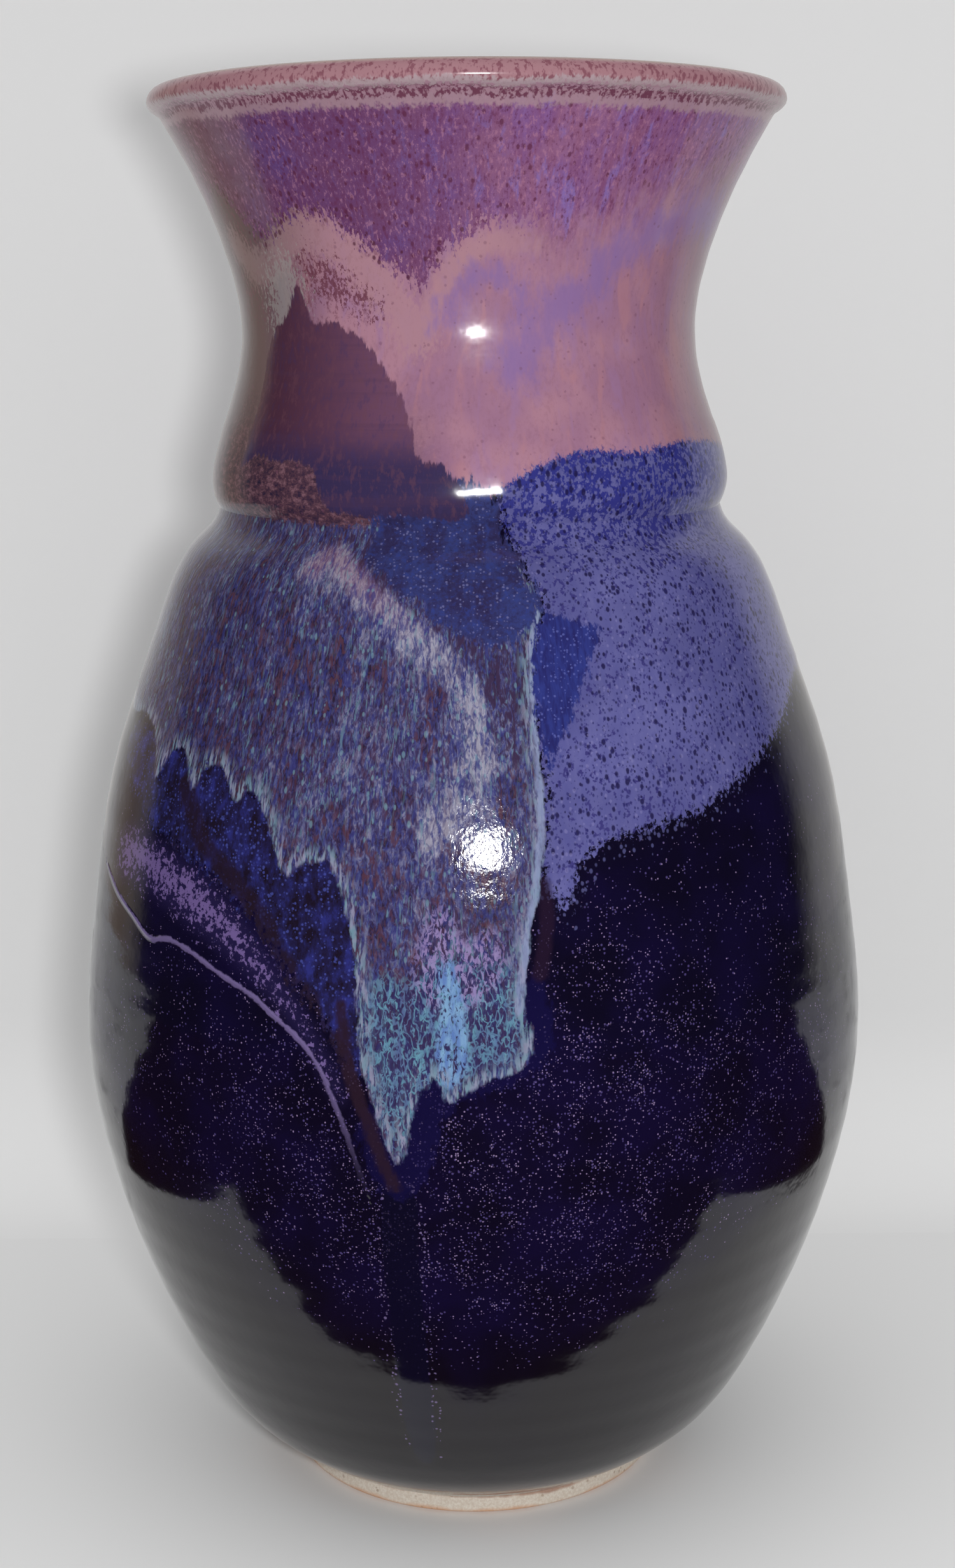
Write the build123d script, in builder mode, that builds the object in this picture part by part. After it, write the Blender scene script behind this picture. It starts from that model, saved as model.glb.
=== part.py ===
"""A wheel-thrown stoneware vase with a flared neck, a collar and a poured-glaze skin.

The vase stands on +Z with its foot on z = 0 and its axis on Z, and its front faces -Y.
Clay and glaze are separate solids that meet face to face: a foot ring, two thrown clay
sections with a bed of slip between them, glaze coats on the body, on the neck and inside,
and two thick pours that lie over the body's coat. Dimensions are in millimetres.
"""

from build123d import *
import os

# The finished, glazed vase
HEIGHT = 356.0
BELLY_RADIUS = 101.3
BELLY_HEIGHT = 120.0
GROOVE_RADIUS = 63.1
GROOVE_HEIGHT = 254.6
COLLAR_RADIUS = 64.8
COLLAR_HEIGHT = 259.8
THROAT_RADIUS = 56.6
THROAT_HEIGHT = 299.0
LIP_RADIUS = 78.2
LIP_HEIGHT = 351.8
LIP_BEVEL = (77.2, 354.6)
LIP_ROUND = (70.9, 354.8)
CREST_RADIUS = 73.8

# The foot ring, turned true and left bare
FOOT_RADIUS = 48.8
FOOT_HEIGHT = 5.6
FOOT_RING_WIDTH = 8.5
FOOT_CHAMFER = 0.8
GLAZE_LINE_RADIUS = 50.6

# The coats of glaze, and the slip between the two clay sections
OUTER_GLAZE = 0.8
LINER_GLAZE = 0.6
POUR_GLAZE = 0.5
SLIP = 0.6

# The hollow inside the finished vase
MOUTH_RADIUS = 69.6
INNER_THROAT_RADIUS = 50.2
INNER_GROOVE_RADIUS = 56.4
INNER_BELLY_RADIUS = 94.6
FLOOR_HEIGHT = 16.5
FLOOR_FLAT_RADIUS = 28.0

# Outsides as (radius, height), from the bottom up
BODY_OUTSIDE = [
    (GLAZE_LINE_RADIUS, FOOT_HEIGHT),
    (65.8, 17.4),
    (76.1, 33.0),
    (87.3, 57.6),
    (95.9, 84.0),
    (BELLY_RADIUS, BELLY_HEIGHT),
    (98.5, 152.0),
    (91.7, 190.9),
    (79.6, 225.3),
    (68.9, 246.6),
    (64.3, 251.6),
    (GROOVE_RADIUS, GROOVE_HEIGHT),
]
COLLAR_OUTSIDE = [
    (GROOVE_RADIUS, GROOVE_HEIGHT),
    (64.2, 257.2),
    (COLLAR_RADIUS, COLLAR_HEIGHT),
]
NECK_OUTSIDE = [
    (COLLAR_RADIUS, COLLAR_HEIGHT),
    (63.1, 270.6),
    (58.8, 283.6),
    (THROAT_RADIUS, THROAT_HEIGHT),
    (59.9, 316.2),
    (68.0, 335.9),
    (75.4, 349.2),
]
# Insides as (radius, height), from the top down
NECK_INSIDE = [
    (MOUTH_RADIUS, LIP_HEIGHT),
    (61.8, 336.0),
    (53.6, 316.2),
    (INNER_THROAT_RADIUS, THROAT_HEIGHT),
    (52.4, 283.6),
    (56.4, 268.0),
    (INNER_GROOVE_RADIUS, GROOVE_HEIGHT),
]
SHOULDER_INSIDE = [
    (INNER_GROOVE_RADIUS, GROOVE_HEIGHT),
    (63.4, 244.0),
    (73.4, 223.6),
    (85.2, 189.6),
    (91.9, 151.6),
    (INNER_BELLY_RADIUS, BELLY_HEIGHT),
]
BOWL_INSIDE = [
    (INNER_BELLY_RADIUS, BELLY_HEIGHT),
    (89.2, 85.0),
    (76.8, 51.0),
    (58.0, 26.0),
    (FLOOR_FLAT_RADIUS, FLOOR_HEIGHT),
]

# The pours as seen from the front, as (across, height)
LAVENDER_OUTLINE = [
    (-12.0, 250.0),
    (8.0, 225.0),
    (2.0, 200.0),
    (2.0, 168.0),
    (28.0, 175.0),
    (56.0, 190.0),
    (76.0, 210.0),
    (66.0, 246.0),
    (30.0, 253.0),
]
RUTILE_OUTLINE = [
    (-52.0, 246.0),
    (-24.0, 247.0),
    (-5.0, 220.0),
    (-1.5, 168.0),
    (-8.0, 120.0),
    (-27.0, 108.0),
    (-36.0, 90.0),
    (-46.0, 130.0),
    (-62.0, 158.0),
    (-82.0, 180.0),
    (-76.0, 212.0),
]
PARTS_FOLDER = "parts"


def moved_in(points, depth):
    """The same outline, nearer the axis by a depth."""
    return [(radius - depth, height) for radius, height in points]


def body_outside(depth):
    """The body's outside, below a coat of the given depth."""
    return Spline(*moved_in(BODY_OUTSIDE, depth))


def collar_outside(depth):
    """The underside of the collar, from the groove to the collar's edge."""
    return Spline(*moved_in(COLLAR_OUTSIDE, depth))


def neck_outside(depth):
    """The neck's outside, from the collar's edge to the lip."""
    return Spline(*moved_in(NECK_OUTSIDE, depth))


def lip_outside(depth):
    """The lip's slanted rim, from the neck's outside up to the crest."""
    start_radius, start_height = NECK_OUTSIDE[-1]
    rim_radius, rim_height = LIP_BEVEL
    return Spline(
        (start_radius - depth, start_height),
        (LIP_RADIUS - depth, LIP_HEIGHT),
        (rim_radius - depth, rim_height - depth / 2),
        (CREST_RADIUS, HEIGHT - depth),
    )


def lip_inside(depth, crest_depth):
    """The inner side of the lip, from the crest down to the mouth."""
    round_radius, round_height = LIP_ROUND
    return Spline(
        (CREST_RADIUS, HEIGHT - crest_depth),
        (round_radius + depth / 2, round_height - depth),
        (MOUTH_RADIUS + depth, LIP_HEIGHT),
    )


def neck_inside(depth):
    """The neck's inside, behind a coat of the given depth."""
    return Spline(*moved_in(NECK_INSIDE, -depth))


def shoulder_inside(depth):
    """The inside of the shoulder, from the joint down to the widest place."""
    return Spline(*moved_in(SHOULDER_INSIDE, -depth))


def bowl_inside(depth):
    """The inside of the bowl, which a coat also lowers towards the floor."""
    last = len(BOWL_INSIDE) - 1
    points = [
        (radius + depth * (1 - index / last), height - depth * index / last)
        for index, (radius, height) in enumerate(BOWL_INSIDE)
    ]
    return Spline(*points)


def neck_clay_section():
    """Half a section through the clay above the groove, slip included."""
    with BuildSketch(Plane.XZ) as half_section:
        with BuildLine():
            collar = collar_outside(OUTER_GLAZE)
            neck_outside(OUTER_GLAZE)
            lip_outside(OUTER_GLAZE)
            lip_inside(LINER_GLAZE, OUTER_GLAZE)
            inside = neck_inside(LINER_GLAZE)
            Line(inside @ 1, collar @ 0)
        make_face()
    return half_section.sketch


os.makedirs(PARTS_FOLDER, exist_ok=True)

# Foot ring, the one bare face that the vase stands on
with BuildPart() as foot_ring:
    Cylinder(FOOT_RADIUS, FOOT_HEIGHT, align=(Align.CENTER, Align.CENTER, Align.MIN))
    Cylinder(
        FOOT_RADIUS - FOOT_RING_WIDTH,
        FOOT_HEIGHT,
        align=(Align.CENTER, Align.CENTER, Align.MIN),
        mode=Mode.SUBTRACT,
    )
    chamfer(foot_ring.faces().sort_by(Axis.Z)[0].edges(), FOOT_CHAMFER)
foot_ring.part.label = "foot_ring"
export_step(foot_ring.part, f"{PARTS_FOLDER}/foot_ring.step")

# Body section, thrown clay from the floor to the groove
with BuildPart() as body_section:
    with BuildSketch(Plane.XZ):
        with BuildLine():
            outside = body_outside(OUTER_GLAZE)
            shoulder = shoulder_inside(LINER_GLAZE)
            Line(outside @ 1, shoulder @ 0)
            bowl = bowl_inside(LINER_GLAZE)
            Polyline(bowl @ 1, (0.0, FLOOR_HEIGHT - LINER_GLAZE), (0.0, FOOT_HEIGHT), outside @ 0)
        make_face()
    revolve(axis=Axis.Z)
body_section.part.label = "body_section"
export_step(body_section.part, f"{PARTS_FOLDER}/body_section.step")

# Joint slip, the bed of wet clay that the neck was pressed on
with BuildPart() as joint_slip:
    revolve(neck_clay_section(), axis=Axis.Z)
    with BuildSketch(Plane.XY.offset(GROOVE_HEIGHT)):
        Circle(COLLAR_RADIUS)
    extrude(amount=SLIP, mode=Mode.INTERSECT)
joint_slip.part.label = "joint_slip"
export_step(joint_slip.part, f"{PARTS_FOLDER}/joint_slip.step")

# Neck section, thrown apart: collar, throat, flare and lip
with BuildPart() as neck_section:
    revolve(neck_clay_section(), axis=Axis.Z)
    with BuildSketch(Plane.XY.offset(GROOVE_HEIGHT)):
        Circle(COLLAR_RADIUS)
    extrude(amount=SLIP, mode=Mode.SUBTRACT)
neck_section.part.label = "neck_section"
export_step(neck_section.part, f"{PARTS_FOLDER}/neck_section.step")

# Base glaze, the dark coat on the outside of the body
with BuildPart() as base_glaze:
    with BuildSketch(Plane.XZ):
        with BuildLine():
            coat = body_outside(0.0)
            clay = body_outside(OUTER_GLAZE)
            Line(coat @ 0, clay @ 0)
            Line(coat @ 1, clay @ 1)
        make_face()
    revolve(axis=Axis.Z)
base_glaze.part.label = "base_glaze"
export_step(base_glaze.part, f"{PARTS_FOLDER}/base_glaze.step")

# Neck glaze, the dipped coat from the groove over the collar and lip to the crest
with BuildPart() as neck_glaze:
    with BuildSketch(Plane.XZ):
        with BuildLine():
            collar_coat = collar_outside(0.0)
            neck_outside(0.0)
            lip_coat = lip_outside(0.0)
            collar_clay = collar_outside(OUTER_GLAZE)
            neck_outside(OUTER_GLAZE)
            lip_clay = lip_outside(OUTER_GLAZE)
            Line(collar_coat @ 0, collar_clay @ 0)
            Line(lip_coat @ 1, lip_clay @ 1)
        make_face()
    revolve(axis=Axis.Z)
neck_glaze.part.label = "neck_glaze"
export_step(neck_glaze.part, f"{PARTS_FOLDER}/neck_glaze.step")

# Liner glaze, poured in and out again, from the crest down over the floor
with BuildPart() as liner_glaze:
    with BuildSketch(Plane.XZ):
        with BuildLine():
            lip_coat = lip_inside(0.0, 0.0)
            neck_inside(0.0)
            shoulder_inside(0.0)
            bowl_coat = bowl_inside(0.0)
            lip_clay = lip_inside(LINER_GLAZE, OUTER_GLAZE)
            neck_inside(LINER_GLAZE)
            shoulder_inside(LINER_GLAZE)
            bowl_clay = bowl_inside(LINER_GLAZE)
            Line(lip_coat @ 0, lip_clay @ 0)
            Polyline(bowl_coat @ 1, (0.0, FLOOR_HEIGHT), (0.0, FLOOR_HEIGHT - LINER_GLAZE), bowl_clay @ 1)
        make_face()
    revolve(axis=Axis.Z)
liner_glaze.part.label = "liner_glaze"
export_step(liner_glaze.part, f"{PARTS_FOLDER}/liner_glaze.step")

# The two pours, each a thin skin over the base glaze cut to its outline
pours = {}
for pour_name, pour_outline in (("lavender_pour", LAVENDER_OUTLINE), ("rutile_pour", RUTILE_OUTLINE)):
    with BuildPart() as pour:
        with BuildSketch(Plane.XZ):
            with BuildLine():
                skin = body_outside(-POUR_GLAZE)
                under = body_outside(0.0)
                Line(skin @ 0, under @ 0)
                Line(skin @ 1, under @ 1)
            make_face()
        revolve(axis=Axis.Z)
        with BuildSketch(Plane.XZ):
            with BuildLine():
                Spline(*pour_outline, periodic=True)
            make_face()
        extrude(amount=2.0 * BELLY_RADIUS, mode=Mode.INTERSECT)
    pours[pour_name] = pour.part
    pours[pour_name].label = pour_name
    export_step(pours[pour_name], f"{PARTS_FOLDER}/{pour_name}.step")
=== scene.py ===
"""A wheel-thrown stoneware vase under poured glazes, and the small studio it stands in.

The vase is turned from smooth half outlines: a coat of glaze on the body, a coat on the neck
and lip, a liner inside and a bare foot ring. Where each glaze lies is told by outlines of
(degrees round from the front, height in millimetres). Every vertex of a coat carries its
distance into each outline, and one glaze finish turns those distances into frayed edges,
specks, streaks and runs.
"""

import logging
import math
from dataclasses import dataclass
from enum import Enum
from typing import Optional, Sequence, Union

import bmesh
import bpy
import numpy as np
from mathutils import Matrix, Vector, noise


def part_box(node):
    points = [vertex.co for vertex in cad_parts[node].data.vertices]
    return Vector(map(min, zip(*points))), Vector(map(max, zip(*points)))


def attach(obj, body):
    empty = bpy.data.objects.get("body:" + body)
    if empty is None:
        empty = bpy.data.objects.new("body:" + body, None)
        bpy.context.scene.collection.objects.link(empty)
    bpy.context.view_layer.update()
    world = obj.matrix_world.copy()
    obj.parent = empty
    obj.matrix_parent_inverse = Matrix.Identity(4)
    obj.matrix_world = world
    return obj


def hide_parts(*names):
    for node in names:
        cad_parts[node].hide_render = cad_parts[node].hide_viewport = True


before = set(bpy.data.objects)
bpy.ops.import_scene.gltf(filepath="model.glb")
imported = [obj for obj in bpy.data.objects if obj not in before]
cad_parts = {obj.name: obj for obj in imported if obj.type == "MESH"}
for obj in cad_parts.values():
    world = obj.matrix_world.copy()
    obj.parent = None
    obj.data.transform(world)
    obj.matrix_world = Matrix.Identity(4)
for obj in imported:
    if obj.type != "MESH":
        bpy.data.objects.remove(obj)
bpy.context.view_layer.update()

LOG = logging.getLogger("vase")

MM = 0.001
FULL_TURN = 2.0 * math.pi

Point = tuple[float, float]
Colour = tuple[float, float, float, float]
Value = Union["Wire", float, Colour]


# --- Sizes, in millimetres, led by the frame ---------------------------------------------


def top_of(node: str) -> float:
    """A CAD node's top height, in millimetres."""
    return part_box(node)[1].z / MM


FOOT_HEIGHT = top_of("foot_ring")
GROOVE_HEIGHT = top_of("base_glaze")
BELLY_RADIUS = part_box("base_glaze")[1].x / MM
FOOT_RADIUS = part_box("foot_ring")[1].x / MM

GLAZE_DEPTH = 0.6
CREST_HEIGHT = 356.0
# The raised bead reaches this far to each side of its line, and far off it sinks away
BEAD_REACH = 0.6
FAR_OFF = 9.0
# Deeper in or farther out than this, one place is as good as another
DEPTH_LIMIT = 60.0
# The radius that the flow of the glaze is laid out on
FLOW_RADIUS = 80.0

# The outside as (radius, height), in smooth runs that meet at the groove, collar and lip
OUTSIDE: tuple[tuple[Point, ...], ...] = (
    (
        (50.6, FOOT_HEIGHT),
        (65.8, 17.4),
        (76.1, 33.0),
        (87.3, 57.6),
        (95.9, 84.0),
        (BELLY_RADIUS, 120.0),
        (98.5, 152.0),
        (91.7, 190.9),
        (79.6, 225.3),
        (68.9, 246.6),
        (64.3, 251.6),
        (63.1, GROOVE_HEIGHT),
    ),
    (
        (63.1, GROOVE_HEIGHT),
        (64.2, 257.0),
        (64.9, 260.4),
        (64.6, 264.4),
        (63.1, 270.6),
        (58.8, 283.6),
        (56.6, 299.0),
        (59.9, 316.2),
        (68.0, 335.9),
        (75.4, 349.2),
    ),
    ((75.4, 349.2), (78.2, 351.8), (77.2, 354.6), (73.8, CREST_HEIGHT)),
    ((73.8, CREST_HEIGHT), (70.9, 354.8), (69.6, 351.8)),
    ((69.6, 351.8), (66.0, 345.0), (61.8, 336.0)),
)
# The liner's inside, from the dip line in the mouth down to the middle of the floor
INSIDE: tuple[Point, ...] = (
    (62.9, 338.2),
    (53.6, 316.2),
    (50.2, 299.0),
    (52.4, 283.6),
    (56.4, 268.0),
    (56.4, 254.6),
    (63.4, 244.0),
    (73.4, 223.6),
    (85.2, 189.6),
    (91.9, 151.6),
    (94.6, 120.0),
    (89.2, 85.0),
    (76.8, 51.0),
    (58.0, 26.0),
    (28.0, 16.9),
    (0.0, 16.5),
)


def straighten(points: np.ndarray) -> tuple[np.ndarray, np.ndarray]:
    """Works out the bends of a natural cubic spline.

    Args:
        points: The knots, one row each.

    Returns:
        The distance along at each knot, and the second derivatives there.
    """
    along = np.r_[0.0, np.cumsum(np.linalg.norm(np.diff(points, axis=0), axis=1))]
    gap = np.diff(along)
    count = len(points)
    matrix = np.eye(count)
    right = np.zeros_like(points)
    for row in range(1, count - 1):
        matrix[row, row - 1 : row + 2] = (gap[row - 1], 2 * (gap[row - 1] + gap[row]), gap[row])
        rise = (points[row + 1] - points[row]) / gap[row]
        right[row] = 6 * (rise - (points[row] - points[row - 1]) / gap[row - 1])
    return along, np.linalg.solve(matrix, right)


def smooth_points(points: Sequence[Point], spacing: float) -> np.ndarray:
    """Points along the smooth curve through some knots.

    Args:
        points: The knots.
        spacing: The distance between new points, in the knots' unit.

    Returns:
        The new points, one row each, the first and last knot included.
    """
    knots = np.array(points, float)
    along, bends = straighten(knots)
    steps = max(2, round(along[-1] / spacing))
    place = np.linspace(0.0, along[-1], steps + 1)
    span = np.clip(np.searchsorted(along, place, side="right") - 1, 0, len(knots) - 2)
    gap = (along[span + 1] - along[span])[:, None]
    ahead = along[span + 1][:, None] - place[:, None]
    behind = place[:, None] - along[span][:, None]
    return (
        (bends[span] * ahead**3 + bends[span + 1] * behind**3) / (6 * gap)
        + (knots[span] / gap - bends[span] * gap / 6) * ahead
        + (knots[span + 1] / gap - bends[span + 1] * gap / 6) * behind
    )


def cut_corners(points: np.ndarray, closed: bool, rounds: int = 2) -> np.ndarray:
    """Softens an outline by cutting its corners, again and again.

    Args:
        points: The outline, one row a point.
        closed: Whether the last point joins the first.
        rounds: How many times the corners are cut.

    Returns:
        The softened outline.
    """
    for _ in range(rounds):
        ahead = np.roll(points, -1, axis=0) if closed else points[1:]
        here = points if closed else points[:-1]
        cut = np.stack([0.75 * here + 0.25 * ahead, 0.25 * here + 0.75 * ahead], axis=1)
        cut = cut.reshape(-1, 2)
        points = cut if closed else np.vstack([points[:1], cut, points[-1:]])
    return points


def joined_runs(runs: Sequence[Sequence[Point]], spacing: float) -> np.ndarray:
    """Points along some smooth runs, end to end."""
    parts = [smooth_points(run, spacing) for run in runs]
    return np.vstack([parts[0]] + [part[1:] for part in parts[1:]])


class Meridian:
    """The turned outside as a map from height to radius and to the distance along the clay."""

    def __init__(self) -> None:
        """Samples the outside up to its crest."""
        rising = joined_runs(OUTSIDE[:3], 0.5)
        steps = np.linalg.norm(np.diff(rising, axis=0), axis=1)
        self.radii = rising[:, 0]
        self.heights = rising[:, 1]
        self.along = np.r_[0.0, np.cumsum(steps)]

    def radius(self, height: np.ndarray) -> np.ndarray:
        """The outside's radius at each height."""
        return np.interp(height, self.heights, self.radii)

    def distance(self, height: np.ndarray) -> np.ndarray:
        """The distance along the outside from the glaze line to each height."""
        return np.interp(height, self.heights, self.along)


MERIDIAN = Meridian()


# --- Where the glazes lie ----------------------------------------------------------------


@dataclass(frozen=True)
class Skin:
    """The places of a coat's vertices on the turned surface, as arrays.

    Args:
        angle: Radians round from the front, positive to the right.
        height: Height in millimetres.
        radius: Distance from the axis in millimetres.
        along: Distance along the outside in millimetres.
    """

    angle: np.ndarray
    height: np.ndarray
    radius: np.ndarray
    along: np.ndarray


@dataclass(frozen=True)
class Pour:
    """A closed outline of (degrees, height) that one glaze fills."""

    outline: tuple[Point, ...]
    closed: bool = True
    half_width: float = 0.0
    sided: bool = False

    def depth(self, skin: Skin) -> np.ndarray:
        """How far inside the outline each vertex is.

        Args:
            skin: The vertices' places.

        Returns:
            Millimetres, negative outside. An open outline is a band of its half width, and a
            sided one gives the distance across the line, positive on one hand of it.
        """
        line = cut_corners(np.array(self.outline, float), self.closed)
        turn = np.radians(line[:, 0])
        rise = MERIDIAN.distance(line[:, 1])
        middle = float(turn.mean())
        angle = skin.angle + FULL_TURN * np.round((middle - skin.angle) / FULL_TURN)
        nearest = np.full(len(angle), 1e9)
        hand = np.ones(len(angle))
        inside = np.zeros(len(angle), bool)
        last = len(line) if self.closed else len(line) - 1
        for start in range(last):
            end = (start + 1) % len(line)
            across_a = (turn[start] - angle) * skin.radius
            across_b = (turn[end] - angle) * skin.radius
            up_a = rise[start] - skin.along
            up_b = rise[end] - skin.along
            run, lift = across_b - across_a, up_b - up_a
            share = -(across_a * run + up_a * lift) / np.maximum(run**2 + lift**2, 1e-9)
            share = np.clip(share, 0.0, 1.0)
            gap = np.hypot(across_a + share * run, up_a + share * lift)
            hand = np.where(gap < nearest, np.sign(across_a * lift - up_a * run), hand)
            nearest = np.minimum(nearest, gap)
            crosses = (up_a > 0) != (up_b > 0)
            level = np.where(np.abs(lift) < 1e-9, 1e-9, lift)
            inside ^= crosses & (across_a - up_a * run / level > 0)
        if self.sided:
            return hand * nearest
        if not self.closed:
            return self.half_width - nearest
        return np.where(inside, nearest, -nearest)


@dataclass(frozen=True)
class Tide:
    """A line right round the vase, as (degrees, height), with the glaze above it."""

    line: tuple[Point, ...]

    def depth(self, skin: Skin) -> np.ndarray:
        """How far above the line each vertex is, in millimetres along the clay."""
        points = np.array(self.line, float)
        wrapped = np.vstack([points - (360.0, 0.0), points, points + (360.0, 0.0)])
        soft = cut_corners(wrapped, False, 2)
        level = np.interp(np.degrees(skin.angle), soft[:, 0], soft[:, 1])
        return skin.along - MERIDIAN.distance(level)


BEAD_LINE: tuple[Point, ...] = (
    (-70, 168), (-62, 163), (-57, 160.5), (-54, 158), (-51, 156.6), (-48, 158.4), (-44, 157.8),
    (-40, 155.8), (-36, 153.2), (-32, 151), (-29.5, 149), (-27, 146), (-24, 142.8), (-21.5, 139),
    (-19.4, 133.6), (-17.8, 127), (-16.4, 121), (-15.2, 114), (-14, 107),
)

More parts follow.
